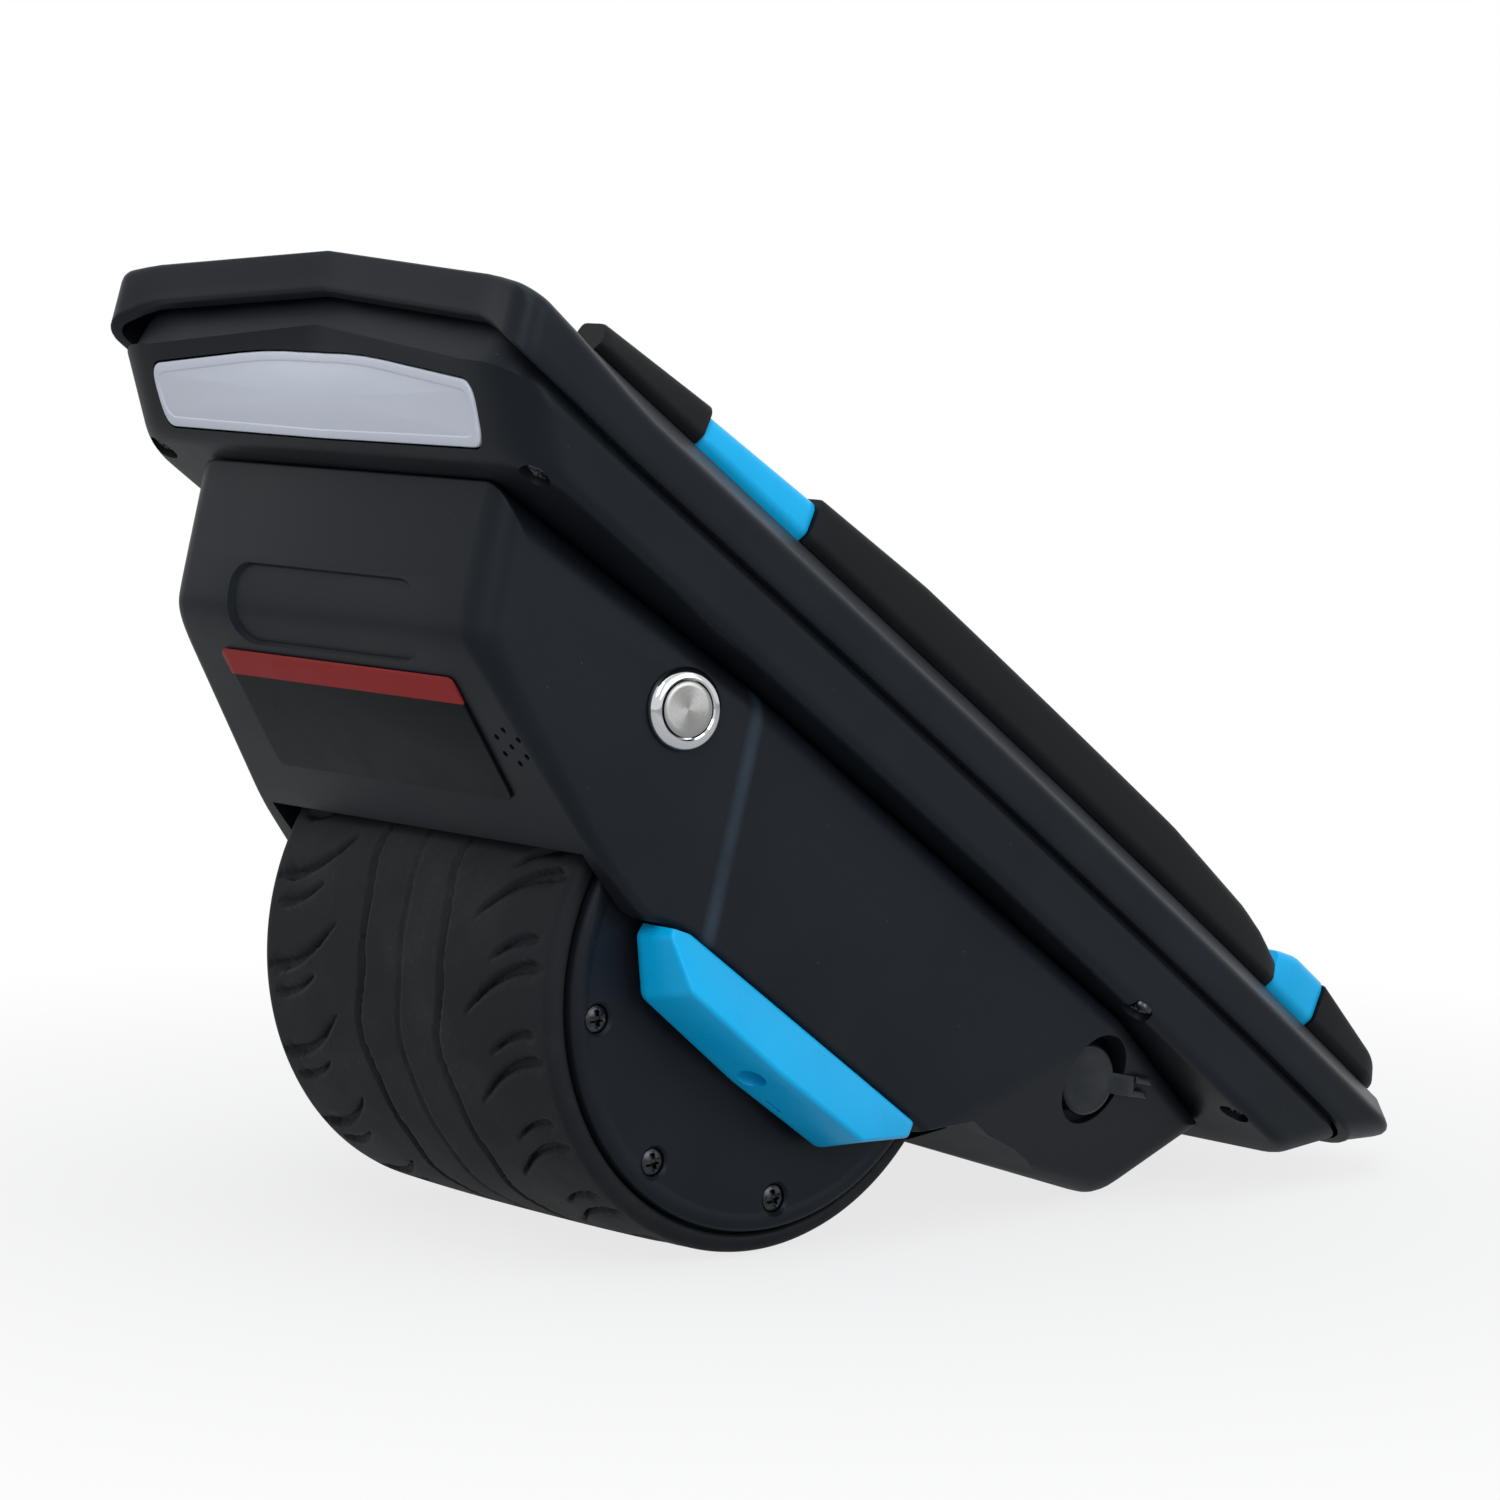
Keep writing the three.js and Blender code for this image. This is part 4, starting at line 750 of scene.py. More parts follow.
# ---- Pieces ----
def build_tyre(sizes, colours):
    """r(y) = R - 0.9 |y/h|^2.6 with rounded shoulders, less the grooves and sipes cut at angle a."""
    around, across = 544, 151
    radius = sizes.tyre_radius / MM
    tread = np.linspace(-1, 1, across)
    tread = (TYRE_HALF - SHOULDER) * (0.8 * tread + 0.2 * np.sin(tread * np.pi / 2))
    base = radius - DOMING * np.abs(tread / TYRE_HALF) ** 2.6
    turn = np.linspace(0, np.pi / 2, 6)[1:]
    corner = np.column_stack([base[-1] - SHOULDER * (1 - np.cos(turn)), tread[-1] + SHOULDER * np.sin(turn)])
    wall = [(SIDEWALL + 0.6, TYRE_HALF), (SIDEWALL, TYRE_HALF - 0.6), (SIDEWALL - 0.1, BEAD_HALF)]
    right = np.vstack([corner, wall, [(TREAD_BORE, BEAD_HALF), (TREAD_BORE, 0.0)]])
    left = right[:-1][::-1] * (1, -1)
    profile = np.vstack([left, np.column_stack([base, tread]), right])
    angle = np.arange(around) / around * 2 * np.pi
    r = np.repeat(profile[:, 0, None], around, axis=1)
    y = np.repeat(profile[:, 1, None], around, axis=1)
    rows = slice(len(left) - 4, len(left) + across + 4)
    groove, sipe = sizes.groove_depth / MM, sizes.sipe_depth / MM
    r[rows] -= tread_cut(angle * radius, profile[rows, 1, None], radius, groove, sipe)
    grid = np.stack([r * np.cos(angle), y, r * np.sin(angle)], axis=-1)
    piece = made("tyre_tread", loft(grid, closed=True), tread_rubber(colours), sharp=60)
    settle(piece, "wheel", "tread_rubber", "tyre")


def trough(distance, half, soft):
    """1 within half of a line, and down to 0 by a smoothstep over the next soft millimetres."""
    t = np.clip((half + soft - np.abs(distance)) / soft, 0, 1)
    return t * t * (3 - 2 * t)


def tread_cut(s, y, radius, groove, sipe):
    """Depth of cut at arc length s and width y. Wavy grooves at y = +-14.5 + 1.2 sin(9 a), a faint line in
    the middle, and on each shoulder a long and a short sipe per pitch that follow s = s0 + rise u(2 - u)."""
    waves = TREAD_PITCHES // 2
    wave = 1.2 * np.sin(s / radius * waves) + 0.5 * np.sin(s / radius * 2 * waves + 1)
    cut = groove * trough(y - GROOVE_AT - wave, 0.35, 0.7)
    cut = np.maximum(cut, groove * trough(y + GROOVE_AT - wave, 0.35, 0.7))
    cut = np.maximum(cut, 0.35 * groove * trough(y - 0.6 * wave, 0.2, 0.6))
    pitch = 2 * np.pi * radius / TREAD_PITCHES
    for side, shift in ((1, 0.0), (-1, 7.0)):
        across = side * y
        for start, end, rise, offset, wide, deep in ((24.5, 49, 12.5, 0, 2, 1), (32, 47, 6, -8.4, 1.3, 0.8)):
            u = np.clip((across - start) / (end - start), 0, 1)
            line = side * s - offset - shift - rise * u * (2 - u)
            distance = (line + pitch / 2) % pitch - pitch / 2
            taper = np.sqrt(np.clip(u * 6, 0, 1)) * np.sqrt(np.clip((1.02 - u) * 7, 0, 1))
            width = (0.35 + wide * u) * taper / 2
            below = np.clip(distance / (width * 3.2 + 0.6), -1, 0)
            scoop = 0.45 * deep * sipe * (1 + below) * np.where(distance < 0, 1, 0) * taper * (u > 0)
            slot = deep * sipe * trough(distance, width, 0.55) * taper
            within = (across > start) & (across < end + 1)
            cut = np.maximum(cut, np.where(within, np.maximum(slot, scoop), 0))
    return cut


def bolt_places():
    angle = BOLT_START + np.arange(BOLT_COUNT) / BOLT_COUNT * 2 * np.pi
    return list(zip(BOLT_CIRCLE * np.cos(angle), BOLT_CIRCLE * np.sin(angle)))


def build_hub_covers(sizes, colours):
    """A turned disc with a rolled edge, a shallow dish and a raised ring round the axle."""
    profile, seat = (np.array(table) * (1, -1) + (0, COVER_FACE) for table in (COVER_PROFILE, SCREW_SEAT))
    disc = turned(profile, 144, closed=True)
    for name, side in SIDES.items():
        piece = made("hub_disc_" + name, on_side(disc, side), shell_plastic(colours))
        seats = [on_side(turned(seat, 36, place), side) for place in bolt_places()]
        bores = [on_side(rod(1.9, (x, 48, z), (x, 53, z), 16), side) for x, z in bolt_places()]
        cut(piece, [seats, bores])
        settle(piece, "wheel", "soft_black_plastic", "hub_cover_" + name)


def cross_head(radius, height, sides=48, rings=14):
    """A pan head as a height over (r, a): a dome less a cross-shaped socket with sloping walls."""
    r = np.concatenate([[0.0], np.linspace(0.1, 1, rings)])[:, None] * radius
    angle = np.arange(sides) / sides * 2 * np.pi
    x, z = r * np.cos(angle), r * np.sin(angle)
    arm, width = radius * 0.62, radius * 0.17

    def slot(a, b):
        return np.clip((width - np.abs(a)) / 0.18 + 0.5, 0, 1) * np.clip((arm - np.abs(b)) / 0.35 + 0.5, 0, 1)

    y = -0.55 * (r / radius) ** 3 + 0 * angle - np.maximum(slot(x, z), slot(z, x))
    y[0] = y[0].min()
    skirt = np.stack([x[-1], np.full(sides, -height), z[-1]], axis=-1)[None]
    return np.concatenate([np.stack([x, y, z], axis=-1), skirt])


def heads(places, radius, height, turn, flat=np.eye(3)):
    """A cross-head screw at each place, the i-th turned in its seat by i times an angle."""
    shapes = []
    for i, place in enumerate(places):
        c, s = math.cos(turn * (i + 1)), math.sin(turn * (i + 1))
        grid = cross_head(radius, height) @ np.array([(c, 0, s), (0, 1, 0), (-s, 0, c)])
        shapes.append(loft(grid @ flat.T + np.asarray(place, float)))
    return shapes


FACING_DOWN = np.array([(1, 0, 0), (0, 0, 1), (0, -1, 0)], float)


def build_hub_screws(sizes, colours):
    top = COVER_FACE - SCREW_SINK
    foot = top - SCREW_HEIGHT
    for name, side in SIDES.items():
        shapes = heads([(x, top, z) for x, z in bolt_places()], SCREW_HEAD, SCREW_HEIGHT, 1.68)
        shapes += [rod(1.5, (x, 43, z), (x, foot, z), 12) for x, z in bolt_places()]
        piece = made("hub_screws_" + name, [on_side(shape, side) for shape in shapes], screw_steel(), 40)
        settle(piece, "wheel", "dark_steel", *(f"cover_screw_{name}_{i + 1}" for i in range(BOLT_COUNT)))


def sound_holes():
    """Six holes round a seventh, through the front box's sloping underside."""
    down = np.array([0.371, 0, -0.928])
    holes = []
    for i in range(7):
        turn, reach = i * math.pi / 3, 0.0 if i == 6 else 4.3
        x = 88.5 + reach * math.cos(turn) * 0.93
        centre = np.array([x, 51.5 + reach * math.sin(turn), front_underside(x)])
        holes.append(rod(0.75, centre - 1.6 * down, centre + 2 * down, 14))
    return holes


def build_housing(sizes, colours):
    """The creased block, hollowed into a wheel well and two bays, with its recesses, slots and holes."""
    piece = made("housing_shell", housing_block(), housing_plastic(colours), edit=creased)
    mouth = SIDE_PROFILE[0, 1]
    top = mouth + 2
    bend = SIDE_PROFILE[3, 0] - WALL
    front_bay = [(BAY_START, top), (BAY_START, front_underside(BAY_START) + FLOOR)]
    front_bay += [(bend, front_underside(bend) + FLOOR), (112.5, 21), (122.8, mouth), (122.8, top)]
    rear_bay = [(-BAY_START, top), (-BAY_START, rear_underside(-BAY_START) + REAR_FLOOR)]
    rear_bay += [(-120, rear_underside(-120) + REAR_FLOOR), (-139, mouth), (-139, top)]
    socket = [(0, 55.5), (10.6, 55.5), (10.6, 63), (11.4, 70), (0, 70)]
    port_x, port_z = PORT
    cutters = [
        well(),
        slab(front_bay, -50, 50),
        slab(rear_bay, -45, 45),
        bevel_cutter(),
        on_side(bevel_cutter(), -1),
        skid_cutter(),
        recess_cutter(),
        rod(AXLE_SLOT, (0, -SLOT_REACH, 0), (0, SLOT_REACH, 0)),
        box((-AXLE_SLOT, -SLOT_REACH, -10), (AXLE_SLOT, SLOT_REACH, 0)),
        turned(socket, 72, PORT),
        rod(7.9, (port_x, 43, port_z), (port_x, 56.5, port_z), 48),
        on_front_side(rod(6.3, (0, -12.3, 0), (0, 4, 0), 40)),
        sound_holes(),
    ]
    cut(piece, cutters, 30)
    settle(piece, "skate", "soft_black_plastic", "lower_housing")


def build_tray(sizes, colours):
    """Rings from the bottom plate's middle out, up the wall, over the groove lip and back down inside."""
    top = tray_shape(TRAY_TOP)
    foot = TRAY_BOTTOM + TRAY_EDGE
    rings = []
    for turn in np.linspace(0, np.pi / 2, 5):
        z = TRAY_BOTTOM + TRAY_EDGE * (1 - math.cos(turn))
        rings.append(level(z, FLAT, inside(tray_shape(z), TRAY_EDGE * (1 - math.sin(turn)))))
    for share in np.linspace(0.1, 1, 6):
        z = foot + (TRAY_TOP - 0.5 - foot) * share
        rings.append(level(z, mixed(FLAT, TRAY_CROWN, share), tray_shape(z)))
    lip = inside(top, 1.4)
    inner = inside(lip, 2.4)
    tongue, floor = TRAY_TOP + 3.5, TRAY_BOTTOM + 3.5
    edge = [(TRAY_TOP - 0.15, TRAY_CROWN, inside(top, 0.15)), (TRAY_TOP, TRAY_CROWN, inside(top, 0.5))]
    edge += [(TRAY_TOP, TRAY_CROWN, lip), (tongue, RIM_CROWN, lip), (tongue, RIM_CROWN, inner)]
    edge += [(TRAY_TOP, TRAY_CROWN, inner), (floor, FLAT, inside(tray_shape(floor), 3.6))]
    rings += [level(*row) for row in edge]
    piece = made("tray_shell", loft(rings), shell_plastic(colours))
    y, z = lens_outline(GAP).T
    window = loft([nose_face(y, z, np.full(len(y), offset)) for offset in (-11.6, 2.4)])
    spots = [(x, side * y) for x, y in FLANGE_SCREWS for side in (1, -1)]
    seats = [rod(4.2, (*spot, 44), (*spot, TRAY_BOTTOM + 2.2), 36, 3.4) for spot in spots]
    cut(piece, [well(), window, seats])
    settle(piece, "skate", "soft_black_plastic", "deck_tray")
    screws = heads([(*spot, TRAY_BOTTOM + 0.9) for spot in spots], 2.8, 1.3, 1.2, FACING_DOWN)
    settle(made("flange_screws", screws, screw_steel(), 40), "skate", "dark_steel")


def build_rim(sizes, colours):
    """Rings up the rim's wall to its rounded crease, over the slope to the flat deck, then the inner skin."""
    edge, rise, slope = 1.2, 9.0, 8.5
    foot, crease = RIM_BOTTOM + edge, RIM_BOTTOM + rise

    def wall(share, z=None):
        z = foot + (crease - foot) * share if z is None else z
        return level(z, mixed(RIM_CROWN, CREASE_CROWN, share), mixed(RIM_LOW, RIM_SHAPE, share))

    def roof(share):
        z = crease + slope * share
        return level(z, mixed(CREASE_CROWN, FLAT, share), mixed(RIM_SHAPE, RIM_TOP, share))

    rings = [level(RIM_BOTTOM, RIM_CROWN, inside(RIM_LOW, 3))]
    for turn in np.linspace(0, np.pi / 2, 4):
        z = RIM_BOTTOM + edge * (1 - math.cos(turn))
        rings.append(level(z, RIM_CROWN, inside(RIM_LOW, edge * (1 - math.sin(turn)))))
    rings += [wall(share) for share in (0.25, 0.5, 0.7, 0.82)]
    before, middle, after = wall(0.82, crease - 1.4), level(crease, CREASE_CROWN, RIM_SHAPE), roof(0.14)
    rings += [(1 - t) ** 2 * before + 2 * t * (1 - t) * middle + t * t * after for t in (0.25, 0.5, 0.75)]
    rings += [roof(share) for share in (0.14, 0.35, 0.6, 0.85, 0.95)]
    rings.append(level(DECK_TOP, FLAT, inside(RIM_TOP, 0.9)))
    skin = level(crease - 1.5, CREASE_CROWN, inside(RIM_SHAPE, 3))
    ceiling = level(DECK_TOP - 3, FLAT, inside(RIM_TOP, 1))
    piece = made("rim_shell", loft([*rings[::-1], skin, ceiling]), shell_plastic(colours))
    cut(piece, [[rod(4.3, (x, 0, 72), (x, 0, 81), 32) for x in (70, -70)]])
    settle(piece, "skate", "soft_black_plastic", "deck_rim")


def rail_section(height, extra=0.0):
    """A rail's cross-section as (inset, up): a bulged outer face, a flat top and a straight back."""
    h = np.asarray(height, float)
    face = [(14.2, 0), (12.7, 2.2), (14.2, h - 1.3), (15.5, h)]
    corners = [(inset + extra, up) for inset, up in face] + [(22.9, h), (24.2, 0)]
    return np.stack([np.stack([inset + 0 * h, up + 0 * h], axis=-1) for inset, up in corners], axis=-2)


def tapered_ends(rings, by):
    """Draws the first and last ring in towards their middles, so that a bar's ends are rounded."""
    rings = np.asarray(rings, float)

    def small(ring, towards):
        centre = ring.mean(axis=0)
        shrunk = centre + (ring - centre) * (1 - by / np.linalg.norm(ring - centre, axis=1).max())
        pull = towards.mean(axis=0) - centre
        return shrunk, ring + pull / np.linalg.norm(pull) * by

    (cap, shoulder), (far_cap, far_shoulder) = small(rings[0], rings[1]), small(rings[-1], rings[-2])
    return np.stack([cap, shoulder, *rings[1:-1], far_shoulder, far_cap])


def side_bar(start, end, steps, top, drop=0.0, inset=0.0):
    """The rail's section carried back along the deck's edge, its top following a line of heights."""
    x = np.linspace(start, end, steps + 1)
    line = np.asarray(top, float)[::-1]
    height = np.interp(x, line[:, 0], line[:, 1]) - drop - DECK_TOP - GAP
    section = rounded(rail_section(height, inset), (0.3, 1.0, 1.4, 1.2, 1.2, 0.3), 3)
    y = half_width(x)[:, None] - section[..., 0]
    z = DECK_TOP + GAP + section[..., 1]
    return loft(tapered_ends(np.stack([np.repeat(x[:, None], y.shape[1], 1), y, z], axis=-1), 0.5))


def heel_shape():
    """The rail's section swept round the tail: straight, then round a corner of 12 + inset, and mirrored."""
    edge, corner, begin = 2.5, 12.0, -150.5
    arc_x = TAIL + edge + corner
    arc_y = half_width(arc_x) - RAIL_OUTER - corner
    angle = np.pi / 2 * (1 + np.linspace(0, 1, 15))
    edge_x = np.concatenate([[begin], arc_x + corner * np.cos(angle)])
    height = 91.5 - 5.5 * (begin - edge_x) / (begin - TAIL - edge) - DECK_TOP - GAP
    section = rounded(rail_section(height), (0.3, 1.0, 1.4, 1.6, 1.6, 0.3), 3)
    inset, up = section[..., 0], section[..., 1]
    radius = (corner + RAIL_OUTER - inset)[1:]
    x = np.vstack([np.full(inset.shape[1], begin), arc_x + radius * np.cos(angle)[:, None]])
    y = np.vstack([half_width(begin) - inset[0], arc_y + radius * np.sin(angle)[:, None]])
    left = np.stack([x, y, DECK_TOP + GAP + up], axis=-1)
    return loft(tapered_ends(np.concatenate([left, left[::-1] * (1, -1, 1)]), 0.5))


def build_rails(sizes, colours):
    """Black rails and blue inserts along both sides, and the heel stop across the tail."""
    black, blue = (black_rubber(colours), "black_rubber"), (blue_plastic(colours), "cyan_plastic")
    bars = {
        "front_rail": (side_bar(93.7, 128, 14, RAIL_TOP), black),
        "rear_rail": (side_bar(-131, 56.7, 60, RAIL_TOP), black),
        "front_accent": (side_bar(57, 93.4, 14, RAIL_TOP, 1.6, 1.0), blue),
        "rear_accent": (side_bar(-150.2, -131.3, 10, REAR_ACCENT_TOP, 0, 1.0), blue),
    }
    for name, (shape, (material, slot)) in bars.items():
        for hand, side in SIDES.items():
            piece = made(f"{name}_bar_{hand}", on_side(shape, side), material)
            settle(piece, "skate", slot, f"{name}_{hand}")
    settle(made("heel_stop", heel_shape(), black_rubber(colours)), "skate", "black_rubber", "heel_lip")


def build_foot_pad(sizes, colours):
    """Rings stepping in from the pad's edge, with ribs: z = top - depth (1 - cos(2 pi inset / pitch)) / 2."""
    bottom, top, rib_depth, first_rib, last_rib = 81.1, 84.3, 0.9, 4.0, 38.0
    pitch = sizes.rib_pitch / MM
    base = (122.0, -160.0, 26.0, 16.0, 16.0)
    rings = [level(bottom, FLAT, inside(base, 0.4)), level(bottom + 0.4, FLAT, base)]
    rings += [level(top - 0.9, FLAT, base), level(top - 0.3, FLAT, inside(base, 0.25))]
    for inset in np.arange(0.9, 42.0, pitch / 8):
        ribbed = first_rib < inset < last_rib
        wave = 0.5 - 0.5 * math.cos(2 * math.pi * (inset - first_rib) / pitch) if ribbed else 0.0
        rings.append(level(top - rib_depth * wave, FLAT, inside(base, inset)))
    piece = made("foot_mat", loft(rings), black_rubber(colours), 60)
    settle(piece, "foot_pad", "black_rubber", "foot_pad")


def fairing_shape():
    """Five-sided sections along the wheel's side, drawn in and lifted at both ends."""
    stations = np.array([(41, 0.35, 0.32), (32, 1, 0.9), (0, 1, 1), (-30, 0.9, 0.97), (-45, 0.1, 0.3)])
    x, out, down = stations.T
    top, back, shoulder = -6.3, 57.5, 67.8
    ridge, ridge_z, foot_z = shoulder + 5.7 * out, top - 13.2 * down, top - 17.2 * down
    points = [(back, top), (shoulder, top), (ridge, ridge_z), (59.5, foot_z), (back, foot_z + 1)]
    return loft(np.stack([np.stack([x, y + 0 * x, z + 0 * x], axis=-1) for y, z in points], axis=1))


def build_fairings(sizes, colours):
    """Blue wheel guards with softened edges, each hollowed over its lug and held by one screw."""
    screw_y, screw_z = 65, -16.6
    low = [(34.8, -5), (34.8, -6.3), (46, -9.85), (63, -5.45), (63, -5)]
    pocket = box((-17.3, 56.5, -13.6), (17.3, 63.5, -5))
    hole = rod(2.3, (0, screw_y, -26), (0, screw_y, -15), 32)
    mouth = rod(3.4, (0, screw_y, -26), (0, screw_y, -15.2), 36, 3.1)
    slit = box((-14, 61.2, -27), (-9, 62.2, -21.5))
    for name, side in SIDES.items():
        piece = made("wheel_guard_" + name, on_side(fairing_shape(), side), blue_plastic(colours))
        softened(piece, sizes.guard_rounding / MM, 4, 12)
        cut(piece, [on_side(shape, side) for shape in (pocket, slab(low, 55.5, 87), mouth, hole, slit)])
        settle(piece, "skate", "cyan_plastic", "side_fairing_" + name)
    for name, side in SIDES.items():
        shapes = heads([(0, side * screw_y, screw_z)], 2.0, 1.2, 1.2, FACING_DOWN)
        screw = made("guard_screw_" + name, shapes, screw_steel(), 40)
        settle(screw, "skate", "dark_steel", "fairing_screw_" + name)


def build_headlight(sizes, colours):
    """Rings of the outline scaled towards the middle by k, standing proud + dome (1 - k^2) off the nose."""
    middle = np.array([0.0, 55.5])
    proud, groove, dome = 0.4, 0.22, 0.9

    def ring(scale, offset, inset=0.0):
        y, z = (middle + (lens_outline(-inset) - middle) * scale).T
        return nose_face(y, z, np.full(len(y), offset))

    rings = [ring(1, proud - 2.6), ring(1, proud - 0.45), ring(1, proud - 0.15, 0.1), ring(1, proud, 0.35)]
    rings += [ring(1, proud, 1.3), ring(1, proud - groove, 1.5)]
    rings += [ring(k, proud - groove + dome * (1 - k**2), 1.5) for k in np.linspace(0.97, 0.08, 18)]
    piece = made("headlight_diffuser", loft(rings), lens_finish(colours), 25)
    settle(piece, "skate", "milky_lens", "headlight_lens")


def build_label(sizes, colours):
    """A thin plate with rounded corners, bare but for its band of colour."""
    x0, x1, half, clearance = 75.3, 104.5, 42.9, 0.33
    rings = []
    for drop, inset in ((0.0, 0.0), (0.4, 0.0), (0.54, 0.14)):
        low, high, side = x0 + inset, x1 - inset, half - inset
        plan = rounded([(low, -side), (high, -side), (high, side), (low, side)], 2.0, 6)
        rings.append(np.column_stack([plan, front_underside(plan[:, 0]) - clearance - drop]))
    settle(made("label_blank", loft(rings), label_finish(colours)), "skate", "label_black", "label_plate")


def build_switch(sizes, colours):
    """A polished bezel with a rolled edge and a flat, lathe-turned cap, as (radius, height) profiles."""
    bezel = [(6.4, 2.0), (6.75, 2.3), (7.5, 2.25), (8.3, 1.9), (8.8, 1.3), (9.0, 0.7), (9.0, 0.3), (6.0, 0.3)]
    bezel += [(6.0, -12), (0, -12), (0, -3.4), (5, -3.4), (5, 0.3), (6.4, 0.3)]
    cap = [(0, 2.3), (0.6, 2.3), (4.9, 2.3), (5.7, 2.25), (6.0, 2.1), (6.1, 1.8), (6.1, 1.55), (4.7, 1.55)]
    cap += [(4.7, -1.9), (0, -1.9)]
    steel = finish("polished steel", (0.62, 0.63, 0.65), (0.58, 0.59, 0.61), 0.07, 0.02, 2.0, 0.002, 6.0, 1.0)
    piece = made("switch_bezel", on_front_side(turned(bezel, 96, closed=True)), steel.owner, 40)
    settle(piece, "skate", "switch_chrome", "power_switch")
    button = made("switch_cap", on_front_side(turned(cap, 64)), brushed_cap(), 40)
    spin_map(button)
    settle(button, "power_button", "brushed_button", "power_button")


def spin_map(piece):
    """A UV map: u runs round the switch's axis and v out from it, so its tangent is the brushing's."""
    place, turn, _ = front_side_frame()
    mesh = piece.data
    points = np.empty(len(mesh.vertices) * 3)
    mesh.vertices.foreach_get("co", points)
    local = ((points.reshape(-1, 3) - AXLE_AT) @ LEVEL.T / MM - place) @ turn
    loops = np.empty(len(mesh.loops), int)
    mesh.loops.foreach_get("vertex_index", loops)
    totals = np.empty(len(mesh.polygons), int)
    mesh.polygons.foreach_get("loop_total", totals)
    owner = np.repeat(np.arange(len(totals)), totals)
    x, z = local[loops, 0], local[loops, 2]
    middle_x, middle_z = (np.bincount(owner, across) / totals for across in (x, z))
    centre = np.arctan2(middle_z, middle_x)[owner]
    radius = np.hypot(x, z)
    angle = np.where(radius < 1e-3, centre, np.arctan2(z, x))
    angle = centre + (angle - centre + np.pi) % (2 * np.pi) - np.pi
    uv = mesh.uv_layers.new(name="spun")
    uv.data.foreach_set("uv", np.column_stack([angle, radius]).astype(np.float32).ravel())


def build_charge_cap(sizes, colours):
    """A domed plug turned about the port's axis, with a strap that ends in two prongs."""
    seat = PORT_FACE + GAP
    t = np.linspace(0, np.pi / 2, 9)
    dome = np.column_stack([8.4 - 1.1 * (1 - np.cos(t)), seat + 1.3 + 1.1 * np.sin(t)])
    inner = np.column_stack([np.linspace(6.6, 0, 7), seat + 2.4 + 0.5 * np.sin(np.linspace(0, np.pi / 2, 7))])
    profile = np.vstack([[(0, seat), (8.0, seat), (8.4, seat + 0.5)], dome, inner])
    run = np.subtract(STRAP_ANCHOR, PORT)
    reach = np.hypot(*run)
    run = run / reach
    side = np.array([-run[1], run[0]])

    def strap(offset, width, start, end, steps, height=None):
        """A rounded bar along the run, lying on the housing's side or rising from it by a smoothstep."""
        s = np.linspace(start, end, steps)
        t = (s - start) / (end - start)
        centre = np.array(PORT) + run * s[:, None] + side * offset
        behind = REAR_CREASE[0] + REAR_CREASE[1] * centre[:, 1] - centre[:, 0]
        rest = CHEEK - REAR_TAPER * behind + GAP
        y = rest if height is None else height + (rest - height) * (t * t * (3 - 2 * t))
        half, thick = width / 2, 1.3
        section = rounded([(-half, 0), (half, 0), (half, thick), (-half, thick)], 0.4, 3)
        xz = centre[:, None, :] + side * section[:, 0, None]
        points = np.stack([xz[..., 0], y[:, None] + section[:, 1], xz[..., 1]], axis=-1)
        return loft(tapered_ends(points, 0.25))

    shapes = [turned(profile, 64, PORT), strap(0, 5.0, 5.0, reach - 6.2, 12, seat + 1.0)]
    shapes += [strap(offset, 1.7, reach - 6.6, reach, 6) for offset in (-1.65, 1.65)]
    dark, worn = (0.011, 0.012, 0.014), (0.017, 0.018, 0.021)
    rubber = finish("cap rubber", dark, worn, 0.24, 0.05, 0.8, 0.006, 5.0, specular=0.3, coat=0.08)
    settle(made("charge_plug", shapes, rubber.owner), "charge_cap", "black_rubber", "charge_cap")


# name: colour, second colour, roughness and its spread, grain, depth, patch, metallic
PLAIN_FINISHES = {
    "cast aluminium": ((0.36, 0.37, 0.38), (0.45, 0.46, 0.47), 0.42, 0.07, 0.6, 0.03, 7.0, 1.0),
    "bright steel": ((0.55, 0.56, 0.58), (0.62, 0.63, 0.65), 0.22, 0.05, 0.3, 0.006, 5.0, 1.0),
    "laminated steel": ((0.13, 0.13, 0.14), (0.2, 0.2, 0.21), 0.4, 0.07, 0.3, 0.02, 5.0, 1.0),
    "battery wrap": ((0.02, 0.07, 0.3), (0.03, 0.09, 0.36), 0.28, 0.05, 2.5, 0.05, 20.0),
}


def finish_inner_parts(sizes, colours):
    """Gives every CAD node that stays in view its own finish."""
    cast, bright, dark, wrap = (finish(name, *look).owner for name, look in PLAIN_FINISHES.items())
    groups = (
        (cast, "hub_shell axle_clamp_left axle_clamp_right motor_controller chassis_plate"),
        (bright, "wheel_bearing_left wheel_bearing_right axle"),
        (dark, "magnet_ring stator_core"),
        (copper(), "stator_winding_left stator_winding_right"),
        (shell_plastic(colours), "foot_switch_front foot_switch_rear charge_socket"),
        (board(), "headlight_board gyro_board"),
        (wrap, "battery_pack"),
        (black_rubber(colours), "buzzer"),
    )
    wanted = {name: material for material, names in groups for name in names.split()}
    for name, node in frame["nodes"].items():
        if not node.hide_render:
            if name not in wanted:
                raise RuntimeError(f"{name} has no finish")
            node.data.materials.clear()
            node.data.materials.append(wanted[name])


# ---- Stage ----
CAMERA_AT = (0.76117, 0.8825, 0.22282)
CAMERA_AHEAD = (-0.64179, -0.76015, -0.10140)
CAMERA_UP = (-0.05204, -0.08874, 0.99470)
LENS, SENSOR = 120.5, 36
FLOOR_HALF = 12.0
LIT_AT = (0, 0, 0.1)
